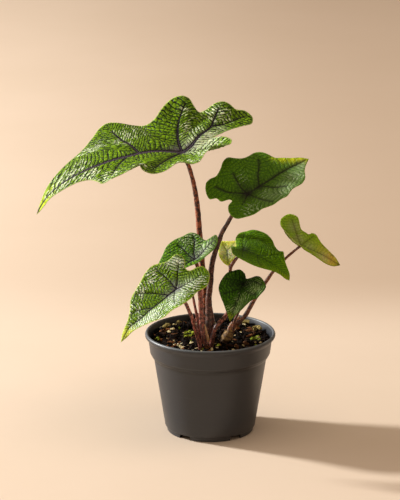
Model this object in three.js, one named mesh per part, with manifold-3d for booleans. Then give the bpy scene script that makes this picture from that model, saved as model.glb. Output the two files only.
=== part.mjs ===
// Potted Jacklyn alocasia: a plastic nursery pot, its soil, two grown shoots and nine leaves.
// Millimetres, +Z up, the pot's axis on Z and the surface that it stands on at z = 0.
// The front of the plant faces -Y.

import * as THREE from 'three';
import { mergeVertices } from 'three/addons/utils/BufferGeometryUtils.js';
import Module from 'manifold-3d';

const wasm = await Module();
wasm.setup();

// Driving dimensions of the pot
const POT_HEIGHT = 93.5;
const RIM_RADIUS = 60;
const COLLAR_TOP_RADIUS = 56.8;
const COLLAR_BOTTOM_RADIUS = 55.2;
const COLLAR_BOTTOM_Z = 74.5;
const BODY_TOP_RADIUS = 51.7;
const BODY_TOP_Z = 68.5;
const BODY_BOTTOM_RADIUS = 41.6;
const FOOT_RADIUS = 39.8;
const FOOT_HEIGHT = 4;
const FOOT_WIDTH = 2.2;
const FLOOR_TOP_Z = 5.6;
const WALL = 1.3;
const PAD_RADIUS = 10;
const POT_SEGMENTS = 60;
const DRAIN_COUNT = 5;
const DRAIN_WIDTH = 11.6;
const DRAIN_HEIGHT = 3.7;
const DRAIN_START_ANGLE = 36;

// Driving dimensions of the soil
const CLEARANCE = 0.3;
const SOIL_SLACK = 0.25;
const SOIL_LEVEL = 86;
const SOIL_BACK_RISE = 3;
const SOIL_EDGE_RADIUS = 54.4;
const MOUND_HEIGHT = 3;
const MOUND_SPREAD = 15;
const MOUND_CENTRE = [-1, -22];
const SOIL_RINGS = 11;
const SOIL_SEGMENTS = 44;
const SOIL_ROUGHNESS = 0.9;
const CHIP_COUNT = 34;

// Driving dimensions of the leaves
const BLADE_THICKNESS = 0.7;
const PETIOLE_SIDES = 8;
const STEM_STEPS = 1.6;
const STEM_TOP_GAP = 0.35;

// The corm leans a little to the right and stands partly out of the soil.
const CORM_BASE = [6.9, -14.5, 80];
const CORM_LEAN = [0.64, 0.1, 1];
const CORM_PROFILE = [[0, 0], [2.8, 0.5], [3.6, 3], [3.8, 8], [4.2, 11], [4.9, 14], [5.1, 16.5],
  [4.7, 19.3], [3.8, 21.8], [2.8, 23.3], [0, 24.2]];
const CORM_SIDES = 14;

// One entry for each leaf. The blade's own frame starts where the petiole joins it:
// heading turns its long axis in plan from +X, pitch tips the axis down, roll turns the blade on it.
// Each edge point is [along the axis, across it to the left, lift out of the plane].
// slopes are the rises, away from the join, to the front, the back, the left and the right.
// The petiole's points run from its foot in the soil or the corm up to the join,
// each with the stem's radius there.
const LEAVES = [
  {
    name: 'large_front', heading: 202, pitch: 0, roll: 2, power: 3, rings: 6,
    slopes: [0.22, 0.2, 0.1, 0.42], color: '#4f7d2c',
    edge: [[141, 4, -43], [131, -13, -36], [122, -25, -29], [111, -35, -22], [95, -46, -14],
      [78, -53, -5], [64, -62, 4], [53, -72, 10], [45, -74, 13], [37, -69, 14], [23, -66, 11],
      [14, -56, 13], [5, -57, 18], [-5, -65, 25], [-18, -73, 31], [-27, -71, 34], [-33, -67, 32],
      [-36, -60, 25], [-40, -59, 20], [-47, -62, 20], [-59, -66, 25], [-66, -63, 27], [-71, -59, 25],
      [-75, -54, 21], [-85, -57, 18], [-88, -45, 15], [-82, -32, 12], [-71, -27, 12], [-58, -21.5, 12],
      [-46, -16, 11], [-36, -12, 8], [-39, -4, 11], [-41, 7, 13], [-40, 21, 14], [-34, 30, 13],
      [-28, 26, 12], [-21, 24, 11], [-9, 35, 9], [6, 55, 7], [13, 56, 6], [22, 57, 9], [28, 57, 9],
      [35, 62, 7], [45, 65, 4], [54, 63, 3], [61, 59, 6], [64, 56, 11], [70, 56, 8], [76, 53, 3],
      [86, 50, -2], [93, 43, -8], [95, 35, -8], [98, 22, -10], [106, 16, -13], [117, 10, -20],
      [128, 3, -29], [136, 3, -38]],
    petiole: [[-4.5, -11, 78.5, 2.8], [-4.5, -9.5, 94, 2.8], [-4.5, -5, 108, 2.8], [-5, 0, 121, 2.75],
      [-5.5, 5, 136.5, 2.7], [-7.7, 11, 158, 2.7], [-10, 16.5, 185, 2.6], [-11.3, 18.5, 202.5, 2.5],
      [-14, 19.5, 223, 2.2], [-17.2, 20, 237, 1.95], [-20, 20, 246, 1.9], [-25.7, 20, 257.5, 1.8]],
  },
  {
    name: 'upper_right', heading: 26, pitch: -27, roll: -23, power: 2, rings: 4,
    slopes: [0, 0, 0.2, 0.2], color: '#35601f',
    edge: [[68, 0, -7], [63, 5, -5], [56, 9, -3], [49, 14, -1], [44, 18, 0], [41, 25, 2], [38, 30, 3],
      [33, 33, 4], [26, 33, 5], [20, 34, 6], [15, 38, 7], [10, 43, 8], [4, 42, 8], [-3, 37, 7],
      [-10, 34, 6], [-16, 35, 6], [-21, 34, 6], [-26, 29, 4], [-29, 19, 2], [-24, 15, 2], [-23, 10, 1],
      [-16, 6, 1], [-15, 4, 0], [-20, 2, 0], [-24, -3, 0], [-26, -10, 1], [-25, -18, 2], [-19, -24, 4],
      [-11, -28, 5], [-3, -28, 5], [7, -32, 6], [17, -31, 5], [22, -32, 5], [32, -27, 3], [42, -27, 2],
      [49, -22, 0], [56, -11, -3], [64, -3, -6]],
    petiole: [[-0.5, -20, 77.5, 3.6], [-0.1, -20, 92.5, 4.5], [-0.1, -20, 105, 4.6], [-0.4, -20, 113, 4.1],
      [-1, -20, 120, 3.3], [-1.5, -19, 130.5, 2.8], [-0.6, -17, 138.5, 2.65], [0.3, -15, 146.5, 2.6],
      [0.7, -13, 154.5, 2.6], [2.1, -11, 164, 2.5], [5.1, -10, 174.5, 2.35], [8, -10, 183, 2.2],
      [10.4, -11, 190.5, 2.1], [14.7, -12, 198.5, 1.9], [22.1, -14, 212, 1.7], [33.6, -15, 227.9, 1.6]],
  },
  {
    name: 'middle_left', heading: 200, pitch: 16, roll: 14, power: 2, rings: 4,
    slopes: [0, 0.1, 0.4, 0.3], color: '#3f6e2c',
    edge: [[45, 1, -9], [39, -7, -6], [34, -13, -3], [28, -18, 0], [23, -22, 2], [15, -28, 6],
      [6, -30, 8], [-2, -29, 9], [-10, -30, 9], [-15, -25, 8], [-16, -18, 7], [-18, -14, 6],
      [-20, -9, 10], [-25, -2, 16], [-23, 6, 15], [-17, 11, 12], [-7, 12, 8], [3, 14, 6], [12, 14, 6],
      [25, 13, 3], [37, 8, -3]],
    petiole: [[-3.5, -31.5, 77.5, 2.1], [-3.5, -31.5, 88, 2.1], [-5, -31.5, 94.5, 2.1], [-6.5, -31, 101.5, 2.2],
      [-8, -30.5, 112.5, 2.2], [-8.5, -30, 123, 2.2], [-9, -29, 133.5, 2.2], [-10, -27, 148, 2.1],
      [-11.5, -22, 161.5, 1.8], [-13.9, -18.5, 167.3, 1.6]],
  },
  {
    name: 'lower_left', heading: 201, pitch: 30, roll: 24, power: 2, rings: 5,
    slopes: [0, 0, 0.42, 0.33], color: '#5c8c33',
    edge: [[67, 2, -13], [60, -4, -10], [51, -8, -6], [44, -13, -2], [37, -20, 2], [29, -23, 5],
      [21, -26, 7], [12, -30, 9], [3, -31, 10], [-5, -28, 9], [-11, -27, 8], [-19, -28, 8],
      [-23, -25, 7], [-23, -18, 5], [-19, -13, 3], [-20, -8, 2], [-27, -7, 1], [-32, -5, 0],
      [-33, 4, 0], [-27, 18, 6], [-20, 25, 9], [-11, 24, 9], [-3, 28, 11], [7, 29, 12], [17, 26, 10],
      [27, 24, 7], [37, 17, 3], [47, 8, -4], [54, 4, -8], [60, 3, -11]],
    petiole: [[-8.5, -32, 77.5, 1.9], [-9, -32, 88.5, 1.9], [-10.5, -32.5, 95, 1.9], [-12.5, -34, 102.5, 1.8],
      [-14.5, -36.5, 110.5, 1.7], [-16.5, -39.5, 119, 1.7], [-19.5, -43.5, 127.5, 1.7],
      [-22, -47, 134.5, 1.6], [-27.5, -51.5, 144, 1.4], [-30.6, -54, 150, 1.4]],
  },
  {
    name: 'middle_right', heading: 327, pitch: 10, roll: -12, power: 2, rings: 4,
    slopes: [0, 0, 0.32, 0.36], color: '#3d6a1f',
    edge: [[53, -5, -10], [48, 3, -9], [39, 10, -4], [34, 15, -1], [31, 18, 1], [27, 17, 1], [21, 19, 3],
      [16, 23, 5], [8, 26, 7], [1, 27, 7], [-7, 25, 7], [-12, 22, 5], [-16, 17, 4], [-16, 11, 2],
      [-13, 6, 1], [-9, 1, 0], [-13, -1, 0], [-9, -7, 2], [0, -18, 5], [8, -23, 7], [19, -25, 7],
      [26, -22, 4], [33, -17, 1], [39, -10, -3], [44, -6, -7], [49, -6, -9]],
    petiole: [[0.5, -28.3, 77.5, 2], [1, -28.3, 87, 2], [1.5, -28.3, 95, 2], [2.7, -28, 100.5, 2],
      [4.8, -27, 105.5, 2], [8.3, -24, 110, 2], [13.2, -20.5, 114, 1.9], [16, -17, 118.5, 1.8],
      [16.5, -13.5, 128, 1.7], [17.5, -11, 141.5, 1.6], [18.5, -11, 157.5, 1.5], [20.5, -11.5, 162, 1.5],
      [24, -12, 167.5, 1.5], [30.3, -12, 174.7, 1.5]],
  },
  {
    name: 'lower_right', heading: 241, pitch: 38, roll: 3, power: 2, rings: 4,
    slopes: [0, 0, 0.3, 0.3], color: '#24491d',
    edge: [[39, 0, -8], [34, -4, -5], [26, -10, -1], [20, -15, 2], [13, -19, 4], [5, -19, 5],
      [-3, -17, 5], [-8, -13, 3], [-11, -8, 2], [-9, -3, 0], [-4, 1, 0], [-5, 5, 1], [-7, 9, 2],
      [-7, 13, 3], [-4, 18, 5], [1, 23, 6], [5, 26, 7], [9, 26, 7], [13, 24, 6], [17, 21, 4],
      [19, 17, 3], [24, 12, 0], [28, 9, -2], [33, 5, -4]],
    petiole: [[20.5, -14, 97, 1.4], [22, -14.3, 107.5, 1.3], [24.5, -15, 114, 1.2], [27, -16.5, 121.5, 1.1],
      [28.5, -19, 130.5, 1.1], [29.5, -24, 141.5, 1], [30.3, -30, 150, 1]],
  },
  {
    name: 'far_right', heading: 350, pitch: 19, roll: -4, power: 2, rings: 4,
    slopes: [0, 0.1, 0.5, 0.4], color: '#7d8a3c',
    edge: [[40, 0, -4], [34, 5, -1], [28, 8, 1], [22, 10, 3], [16, 13, 5], [12, 16, 7], [9, 19, 8],
      [5, 19, 8], [3, 16, 7], [0, 17, 7], [-5, 18, 8], [-9, 24, 11], [-13, 29, 14], [-20, 29, 14],
      [-24, 25, 12], [-26, 20, 9], [-24, 14, 6], [-15, 7, 3], [-8, 2, 2], [-9, -2, 4], [-16, -5, 9],
      [-20, -9, 13], [-17, -12, 13], [-9, -13, 9], [-1, -13, 6], [4, -13, 3], [14, -13, 1],
      [22, -11, -2], [29, -7, -5], [35, -3, -6]],
    petiole: [[18.5, -10, 97, 2.1], [21.5, -9.8, 101.5, 2.15], [27, -10, 106.5, 2.15], [32, -9.5, 112, 2.1],
      [38.7, -8.5, 124, 2], [43.8, -8, 133, 1.95], [51.5, -7, 144.5, 1.75], [57, -6.5, 152.5, 1.45],
      [69, -5.5, 165.5, 1.25], [82, -5, 177, 1.1]],
  },
  {
    name: 'small_pale', heading: 274, pitch: 35, roll: 0, power: 2, rings: 3,
    slopes: [0, 0, 0.15, 0.15], color: '#a3b04b',
    edge: [[16, 0, -2], [13, -4, -1], [9, -7, 1], [1, -8, 1], [-6, -7, 1], [-11, -5, 1], [-11.6, -2, 0],
      [-11.6, 0.5, 0], [-11.6, 3, 0], [-11, 8, 1], [-6, 11, 2], [1, 11, 2], [7, 8, 1], [12, 4, 0]],
    petiole: [[2.5, -10, 77.5, 1.2], [2.5, -10, 87, 1.2], [3.5, -9, 93, 1.2], [5.5, -7, 98, 1.2],
      [9, -4, 102.5, 1.2], [13, -1, 107, 1.2], [16, 2, 112.5, 1.2], [16.5, 5, 122.5, 1.2],
      [17.5, 9, 135.5, 1.1], [18, 13, 150.5, 1.1], [15.4, 16, 165.9, 1]],
  },
  {
    name: 'small_hidden', heading: 150, pitch: 12, roll: 10, power: 2, rings: 3,
    slopes: [0, 0, 0.4, 0.4], color: '#7f9c46',
    edge: [[19, 0, -3], [13, -4, 1], [5, -6, 3], [-2, -5, 2], [-5, 0, 0], [-2, 5, 2], [5, 6, 3],
      [13, 4, 1]],
    petiole: [[-8.5, -24, 77.5, 1.5], [-8.5, -24, 88.5, 1.5], [-9.5, -24, 95.5, 1.5], [-11.5, -24, 110.5, 1.5],
      [-12.5, -24, 117.5, 1.4], [-14, -24, 125, 1.2], [-17.5, -24.5, 144.5, 1.1]],
  },
];

// Dry papery sheaths left at the foot of the shoots
const SHEATHS = [
  {
    name: 'dry_sheath_crown', halfWidth: 1.9,
    foot: [-1.4, -26.3, 90.1], tip: [-5.4, -25.4, 108.5], facing: [0.1, -1, 0],
  },
  {
    name: 'dry_sheath_corm_left', halfWidth: 1.8,
    foot: [16.6, -16.65, 100.4], tip: [20, -16.1, 108], facing: [-0.3, -1, 0.1],
  },
  {
    name: 'dry_sheath_corm_back', halfWidth: 2,
    foot: [20.2, -6.3, 97], tip: [26.8, -6.4, 110.5], facing: [0.2, -1, 0],
  },
];

const group = new THREE.Group();

function random(seed) {
  let state = seed;
  return () => {
    state = (state * 1664525 + 1013904223) % 4294967296;
    return state / 4294967296;
  };
}

function addMesh(name, geometry, color, roughness) {
  const material = new THREE.MeshStandardMaterial({ color, roughness, metalness: 0 });
  const mesh = new THREE.Mesh(geometry, material);
  mesh.name = name;
  group.add(mesh);
  return mesh;
}

function geometryFrom(positions, triangles) {
  const geometry = new THREE.BufferGeometry();
  geometry.setAttribute('position', new THREE.Float32BufferAttribute(positions, 3));
  geometry.setIndex(triangles);
  return geometry;
}

function toSolid(geometry) {
  const bare = geometry.clone();
  bare.deleteAttribute('normal');
  bare.deleteAttribute('uv');
  const merged = mergeVertices(bare, 1e-4);
  return new wasm.Manifold(new wasm.Mesh({
    numProp: 3,
    vertProperties: new Float32Array(merged.attributes.position.array),
    triVerts: new Uint32Array(merged.index.array),
  }));
}

function fromSolid(solid) {
  const { numProp, vertProperties, triVerts } = solid.getMesh();
  const positions = [];
  for (let i = 0; i < vertProperties.length; i += numProp) {
    positions.push(vertProperties[i], vertProperties[i + 1], vertProperties[i + 2]);
  }
  return geometryFrom(positions, Array.from(triVerts));
}

// A profile of [radius, height] points turned about Z
function turned(profile, segments) {
  const points = profile.map(([radius, height]) => new THREE.Vector2(radius, height));
  const geometry = new THREE.LatheGeometry(points, segments);
  geometry.rotateX(Math.PI / 2);
  return geometry;
}

// The pot: a thin wall with a flared lip, a stepped collar and a foot ring with drain notches
function potGeometry() {
  const profile = [
    [0, 0], [PAD_RADIUS, 0], [PAD_RADIUS, FOOT_HEIGHT],
    [FOOT_RADIUS - FOOT_WIDTH, FOOT_HEIGHT], [FOOT_RADIUS - FOOT_WIDTH, 0],
    [FOOT_RADIUS, 0], [FOOT_RADIUS - 0.1, FOOT_HEIGHT - 0.2],
    [BODY_BOTTOM_RADIUS - 0.5, FOOT_HEIGHT + 0.2], [BODY_BOTTOM_RADIUS, FOOT_HEIGHT + 0.9],
    [BODY_TOP_RADIUS, BODY_TOP_Z],
    [BODY_TOP_RADIUS + 0.5, BODY_TOP_Z + 1.8], [BODY_TOP_RADIUS + 2, COLLAR_BOTTOM_Z - 2.8],
    [COLLAR_BOTTOM_RADIUS - 0.5, COLLAR_BOTTOM_Z - 0.8], [COLLAR_BOTTOM_RADIUS, COLLAR_BOTTOM_Z],
    [COLLAR_TOP_RADIUS, POT_HEIGHT - 7], [RIM_RADIUS - 1.8, POT_HEIGHT - 5.2],
    [RIM_RADIUS - 0.3, POT_HEIGHT - 3.4], [RIM_RADIUS, POT_HEIGHT - 1.6],
    [RIM_RADIUS - 0.8, POT_HEIGHT - 0.3], [RIM_RADIUS - 1.8, POT_HEIGHT],
    [RIM_RADIUS - 2.8, POT_HEIGHT - 0.6], [COLLAR_TOP_RADIUS - WALL + 0.4, POT_HEIGHT - 5],
    [COLLAR_TOP_RADIUS - WALL, POT_HEIGHT - 7], [COLLAR_BOTTOM_RADIUS - WALL, COLLAR_BOTTOM_Z + 0.6],
    [BODY_TOP_RADIUS + 0.8 - WALL, COLLAR_BOTTOM_Z - 2.4], [BODY_TOP_RADIUS - WALL, BODY_TOP_Z + 0.6],
    [BODY_BOTTOM_RADIUS - WALL, FLOOR_TOP_Z], [0, FLOOR_TOP_Z],
  ];
  let pot = toSolid(turned(profile, POT_SEGMENTS));
  for (let i = 0; i < DRAIN_COUNT; i++) {
    const notch = new THREE.BoxGeometry(FOOT_WIDTH + 4, DRAIN_WIDTH, DRAIN_HEIGHT * 2);
    notch.translate(FOOT_RADIUS - FOOT_WIDTH / 2, 0, 0);
    notch.rotateZ(THREE.MathUtils.degToRad(-90 + DRAIN_START_ANGLE + i * 360 / DRAIN_COUNT));
    pot = pot.subtract(toSolid(notch));
  }
  return fromSolid(pot);
}

function soilHeight(x, y) {
  const dx = x - MOUND_CENTRE[0];
  const dy = y - MOUND_CENTRE[1];
  const mound = MOUND_HEIGHT * Math.exp(-(dx * dx + dy * dy) / (MOUND_SPREAD * MOUND_SPREAD));
  const waves = Math.sin(x * 0.23 + 1.3) * Math.cos(y * 0.19) + 0.6 * Math.sin(x * 0.11 - y * 0.27);
  return SOIL_LEVEL + SOIL_BACK_RISE * y / SOIL_EDGE_RADIUS + mound + 0.7 * waves;
}

// The soil: the inside of the pot, less a clearance, under a rough heaped surface with chips in it
function soilGeometry() {
  const next = random(7);
  const positions = [0, 0, soilHeight(0, 0)];
  const triangles = [];
  const walls = [
    [COLLAR_BOTTOM_RADIUS - WALL - CLEARANCE - SOIL_SLACK, COLLAR_BOTTOM_Z + 0.7],
    [BODY_TOP_RADIUS + 0.8 - WALL - CLEARANCE - SOIL_SLACK, COLLAR_BOTTOM_Z - 2.3],
    [BODY_TOP_RADIUS - WALL - CLEARANCE - SOIL_SLACK, BODY_TOP_Z + 0.7],
    [BODY_BOTTOM_RADIUS - WALL - CLEARANCE, FLOOR_TOP_Z + CLEARANCE],
  ];
  const rows = SOIL_RINGS + walls.length;
  for (let row = 1; row <= rows; row++) {
    for (let i = 0; i < SOIL_SEGMENTS; i++) {
      const angle = (i / SOIL_SEGMENTS) * 2 * Math.PI;
      const onTop = row <= SOIL_RINGS;
      const radius = onTop ? SOIL_EDGE_RADIUS * row / SOIL_RINGS : walls[row - SOIL_RINGS - 1][0];
      const x = radius * Math.cos(angle);
      const y = radius * Math.sin(angle);
      const rough = row < SOIL_RINGS ? (next() - 0.5) * 2 * SOIL_ROUGHNESS : 0;
      const z = onTop ? soilHeight(x, y) + rough : walls[row - SOIL_RINGS - 1][1];
      positions.push(x, y, z);
    }
  }
  positions.push(0, 0, FLOOR_TOP_Z + CLEARANCE);
  const last = positions.length / 3 - 1;
  for (let i = 0; i < SOIL_SEGMENTS; i++) {
    const j = (i + 1) % SOIL_SEGMENTS;
    triangles.push(0, 1 + i, 1 + j);
    for (let row = 0; row < rows - 1; row++) {
      const a = 1 + row * SOIL_SEGMENTS;
      const b = a + SOIL_SEGMENTS;
      triangles.push(a + i, b + i, b + j, a + i, b + j, a + j);
    }
    const bottom = 1 + (rows - 1) * SOIL_SEGMENTS;
    triangles.push(bottom + i, last, bottom + j);
  }
  let soil = toSolid(geometryFrom(positions, triangles));
  for (let i = 0; i < CHIP_COUNT; i++) {
    const angle = next() * 2 * Math.PI;
    const radius = 14 + 36 * Math.sqrt(next());
    const x = radius * Math.cos(angle);
    const y = radius * Math.sin(angle);
    const chip = new THREE.IcosahedronGeometry(1.6 + 1.5 * next(), 0);
    chip.scale(1.3, 0.8, 0.7);
    chip.rotateZ(next() * Math.PI);
    chip.translate(x, y, soilHeight(x, y) + 0.3);
    soil = soil.add(toSolid(chip));
  }
  return soil;
}

// Unit vectors of a blade's frame in the plant's frame: along, across to the left, out of the upper face
function bladeFrame({ heading, pitch, roll }) {
  const h = THREE.MathUtils.degToRad(heading);
  const p = THREE.MathUtils.degToRad(pitch);
  const r = THREE.MathUtils.degToRad(roll);
  const along = new THREE.Vector3(Math.cos(h) * Math.cos(p), Math.sin(h) * Math.cos(p), -Math.sin(p));
  const up = new THREE.Vector3(Math.cos(h) * Math.sin(p), Math.sin(h) * Math.sin(p), Math.cos(p));
  const side = new THREE.Vector3().crossVectors(up, along);
  const out = up.multiplyScalar(Math.cos(r)).addScaledVector(side, Math.sin(r));
  const across = new THREE.Vector3().crossVectors(out, along);
  return { along, across, out };
}

// The height of a blade over its plane, a share t of the way from the join to an edge point
function bladeHeight(leaf, edgePoint, t) {
  const [along, across, lift] = edgePoint;
  const radius = Math.hypot(along, across);
  const [front, back, left, right] = leaf.slopes;
  const cosine = along / radius;
  const sine = across / radius;
  const slope = (along > 0 ? front : back) * cosine * cosine + (across > 0 ? left : right) * Math.abs(sine);
  return slope * radius * t * (1 - t) + lift * Math.pow(t, leaf.power);
}

// A blade: rings of points from the join to the edge, alike on both faces, a thickness apart
function bladeGeometry(leaf) {
  const { along, across, out } = bladeFrame(leaf);
  const join = new THREE.Vector3(...leaf.petiole[leaf.petiole.length - 1].slice(0, 3));
  const count = leaf.edge.length;
  const middle = [join.x, join.y, join.z];
  for (let ring = 1; ring <= leaf.rings; ring++) {
    const t = ring / leaf.rings;
    for (const point of leaf.edge) {
      const place = join.clone()
        .addScaledVector(along, point[0] * t)
        .addScaledVector(across, point[1] * t)
        .addScaledVector(out, bladeHeight(leaf, point, t));
      middle.push(place.x, place.y, place.z);
    }
  }
  const face = [];
  const anticlockwise = leaf.edge[1][1] > leaf.edge[0][1] ? 1 : -1;
  const pushFace = (a, b, c) => face.push(...(anticlockwise > 0 ? [a, b, c] : [a, c, b]));
  for (let i = 0; i < count; i++) {
    const j = (i + 1) % count;
    pushFace(0, 1 + i, 1 + j);
    for (let ring = 0; ring < leaf.rings - 1; ring++) {
      const a = 1 + ring * count;
      const b = a + count;
      pushFace(a + i, b + i, b + j);
      pushFace(a + i, b + j, a + j);
    }
  }
  const sheet = geometryFrom(middle, face);
  sheet.computeVertexNormals();
  return thickened(sheet, BLADE_THICKNESS);
}

// An open sheet given a thickness: both faces have the same triangles, and a band closes the rim
function thickened(sheet, thickness) {
  const place = sheet.attributes.position;
  const normal = sheet.attributes.normal;
  const face = Array.from(sheet.index.array);
  const count = place.count;
  const positions = [];
  for (const side of [0.5, -0.5]) {
    for (let i = 0; i < count; i++) {
      const shift = side * thickness;
      positions.push(place.getX(i) + normal.getX(i) * shift, place.getY(i) + normal.getY(i) * shift,
        place.getZ(i) + normal.getZ(i) * shift);
    }
  }
  const triangles = face.slice();
  const halfEdges = new Set();
  for (let i = 0; i < face.length; i += 3) {
    triangles.push(face[i] + count, face[i + 2] + count, face[i + 1] + count);
    for (let k = 0; k < 3; k++) halfEdges.add(`${face[i + k]},${face[i + (k + 1) % 3]}`);
  }
  for (const key of halfEdges) {
    const [a, b] = key.split(',').map(Number);
    if (!halfEdges.has(`${b},${a}`)) {
      triangles.push(b, a, a + count, b, a + count, b + count);
    }
  }
  return geometryFrom(positions, triangles);
}

// A round stem along a smooth path. Its top end is cut parallel to the blade that it carries.
// grow makes it fatter and deeper, for the hole that it stands in.
function stemGeometry(leaf, grow = 0) {
  const points = leaf.petiole.map(([x, y, z]) => new THREE.Vector3(x, y, z));
  points[0].addScaledVector(points[0].clone().sub(points[1]).normalize(), grow);
  const path = new THREE.CatmullRomCurve3(points, false, 'centripetal');
  const steps = Math.ceil((points.length - 1) * STEM_STEPS);
  const { out } = bladeFrame(leaf);
  const seat = points[points.length - 1].clone().addScaledVector(out, -BLADE_THICKNESS / 2 - STEM_TOP_GAP);
  const positions = [];
  const triangles = [];
  let side = new THREE.Vector3(1, 0, 0);
  for (let i = 0; i <= steps; i++) {
    const slot = (i / steps) * (points.length - 1);
    const low = Math.min(Math.floor(slot), points.length - 2);
    const radius = THREE.MathUtils.lerp(leaf.petiole[low][3], leaf.petiole[low + 1][3], slot - low) + grow;
    const centre = path.getPoint(i / steps);
    const direction = path.getTangent(i / steps);
    side = side.clone().addScaledVector(direction, -side.dot(direction)).normalize();
    const other = new THREE.Vector3().crossVectors(direction, side);
    for (let k = 0; k < PETIOLE_SIDES; k++) {
      const angle = (k / PETIOLE_SIDES) * 2 * Math.PI;
      const point = centre.clone()
        .addScaledVector(side, Math.cos(angle) * radius)
        .addScaledVector(other, Math.sin(angle) * radius);
      if (i === steps) {
        point.addScaledVector(direction, seat.clone().sub(point).dot(out) / direction.dot(out));
      }
      positions.push(point.x, point.y, point.z);
    }
  }
  for (let i = 0; i < steps; i++) {
    for (let k = 0; k < PETIOLE_SIDES; k++) {
      const a = i * PETIOLE_SIDES + k;
      const b = i * PETIOLE_SIDES + (k + 1) % PETIOLE_SIDES;
      triangles.push(a, b, b + PETIOLE_SIDES, a, b + PETIOLE_SIDES, a + PETIOLE_SIDES);
    }
  }
  const top = steps * PETIOLE_SIDES;
  for (let k = 1; k < PETIOLE_SIDES - 1; k++) {
    triangles.push(0, k + 1, k, top, top + k, top + k + 1);
  }
  return geometryFrom(positions, triangles);
}

// The corm: a turned, ringed body, leaned over. grow makes the hole that it stands in.
function cormGeometry(grow = 0) {
  const height = CORM_PROFILE[CORM_PROFILE.length - 1][1];
  const profile = CORM_PROFILE.map(([radius, z]) => [
    radius > 0 ? radius + grow : 0,
    z + grow * (z < height / 2 ? -1 : 1),
  ]);
  const corm = turned(profile, CORM_SIDES);
  const lean = new THREE.Vector3(...CORM_LEAN).normalize();
  corm.applyQuaternion(new THREE.Quaternion().setFromUnitVectors(new THREE.Vector3(0, 0, 1), lean));
  corm.translate(...CORM_BASE);
  return corm;
}

// A dry sheath: a narrow pointed sheet, bowed across its width
function sheathGeometry({ foot, tip, halfWidth, facing }) {
  const start = new THREE.Vector3(...foot);
  const along = new THREE.Vector3(...tip).sub(start);
  const out = new THREE.Vector3(...facing).normalize();
  const across = new THREE.Vector3().crossVectors(along.clone().normalize(), out).normalize();
  const rows = 5;
  const columns = 4;
  const middle = [];
  const face = [];
  for (let row = 0; row <= rows; row++) {
    const share = row / rows;
    const width = halfWidth * (0.12 + 0.88 * Math.sqrt(1 - share)) * (0.75 + 0.25 * Math.sin(share * Math.PI));
    for (let column = 0; column <= columns; column++) {
      const side = (column / columns) * 2 - 1;
      const bow = -halfWidth * 0.45 * side * side + halfWidth * 0.25 * Math.sin(share * 2.4);
      const place = start.clone()
        .addScaledVector(along, share)
        .addScaledVector(across, side * width)
        .addScaledVector(out, bow);
      middle.push(place.x, place.y, place.z);
    }
  }
  for (let row = 0; row < rows; row++) {
    for (let column = 0; column < columns; column++) {
      const a = row * (columns + 1) + column;
      const b = a + columns + 1;
      face.push(a, b, a + 1, a + 1, b, b + 1);
    }
  }
  const sheet = geometryFrom(middle, face);
  sheet.computeVertexNormals();
  return thickened(sheet, BLADE_THICKNESS);
}

const stands = (leaf) => leaf.petiole[0][2] < SOIL_LEVEL;

let soil = soilGeometry();
for (const leaf of LEAVES.filter(stands)) soil = soil.subtract(toSolid(stemGeometry(leaf, CLEARANCE)));
soil = soil.subtract(toSolid(cormGeometry(CLEARANCE)));

let corm = toSolid(cormGeometry());
for (const leaf of LEAVES.filter((one) => !stands(one))) {
  corm = corm.subtract(toSolid(stemGeometry(leaf, CLEARANCE)));
}

addMesh('pot', potGeometry(), '#4a4643', 0.5);
addMesh('soil', fromSolid(soil), '#2b211a', 0.95);
addMesh('corm', fromSolid(corm), '#8a6a48', 0.85);
for (const sheath of SHEATHS) addMesh(sheath.name, sheathGeometry(sheath), '#b07a45', 0.8);
for (const leaf of LEAVES) {
  addMesh(`petiole_${leaf.name}`, stemGeometry(leaf), '#5f3a2e', 0.5);
  addMesh(`blade_${leaf.name}`, bladeGeometry(leaf), leaf.color, 0.45);
}

export default group;
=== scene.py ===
"""Looks of the potted Jacklyn alocasia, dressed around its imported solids. Metres, +Z up, front faces -Y."""
import math

import bmesh
import bpy
import numpy as np
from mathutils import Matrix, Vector, noise
from mathutils.geometry import delaunay_2d_cdt


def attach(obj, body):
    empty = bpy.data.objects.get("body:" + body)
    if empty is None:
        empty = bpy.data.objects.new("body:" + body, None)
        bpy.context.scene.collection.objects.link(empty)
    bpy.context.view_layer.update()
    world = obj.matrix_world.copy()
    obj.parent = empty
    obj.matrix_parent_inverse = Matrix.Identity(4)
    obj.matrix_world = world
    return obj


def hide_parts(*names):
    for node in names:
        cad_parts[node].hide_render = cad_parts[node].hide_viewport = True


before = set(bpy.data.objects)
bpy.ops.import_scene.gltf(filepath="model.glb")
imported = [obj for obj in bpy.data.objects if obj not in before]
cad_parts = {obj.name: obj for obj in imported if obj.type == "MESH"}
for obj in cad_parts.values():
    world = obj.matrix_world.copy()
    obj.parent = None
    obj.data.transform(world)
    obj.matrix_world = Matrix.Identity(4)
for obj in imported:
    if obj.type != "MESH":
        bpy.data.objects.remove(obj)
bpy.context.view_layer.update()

MM = 0.001

# ---------------------------------------------------------------- sizes of the plant, in millimetres

POT_HEIGHT = 93.5
RIM_RADIUS = 60
COLLAR_TOP_RADIUS = 56.8
COLLAR_BOTTOM_RADIUS = 55.2
COLLAR_BOTTOM_Z = 74.5
BODY_TOP_RADIUS = 51.7
BODY_TOP_Z = 68.5
BODY_BOTTOM_RADIUS = 41.6
FOOT_RADIUS = 39.8
FOOT_HEIGHT = 4
FOOT_WIDTH = 2.2
FLOOR_TOP_Z = 5.6
WALL = 1.3
PAD_RADIUS = 10
DRAIN_COUNT = 5
DRAIN_WIDTH = 11.6
DRAIN_HEIGHT = 3.7
DRAIN_START_ANGLE = 36
POT_STEPS = 360

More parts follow.
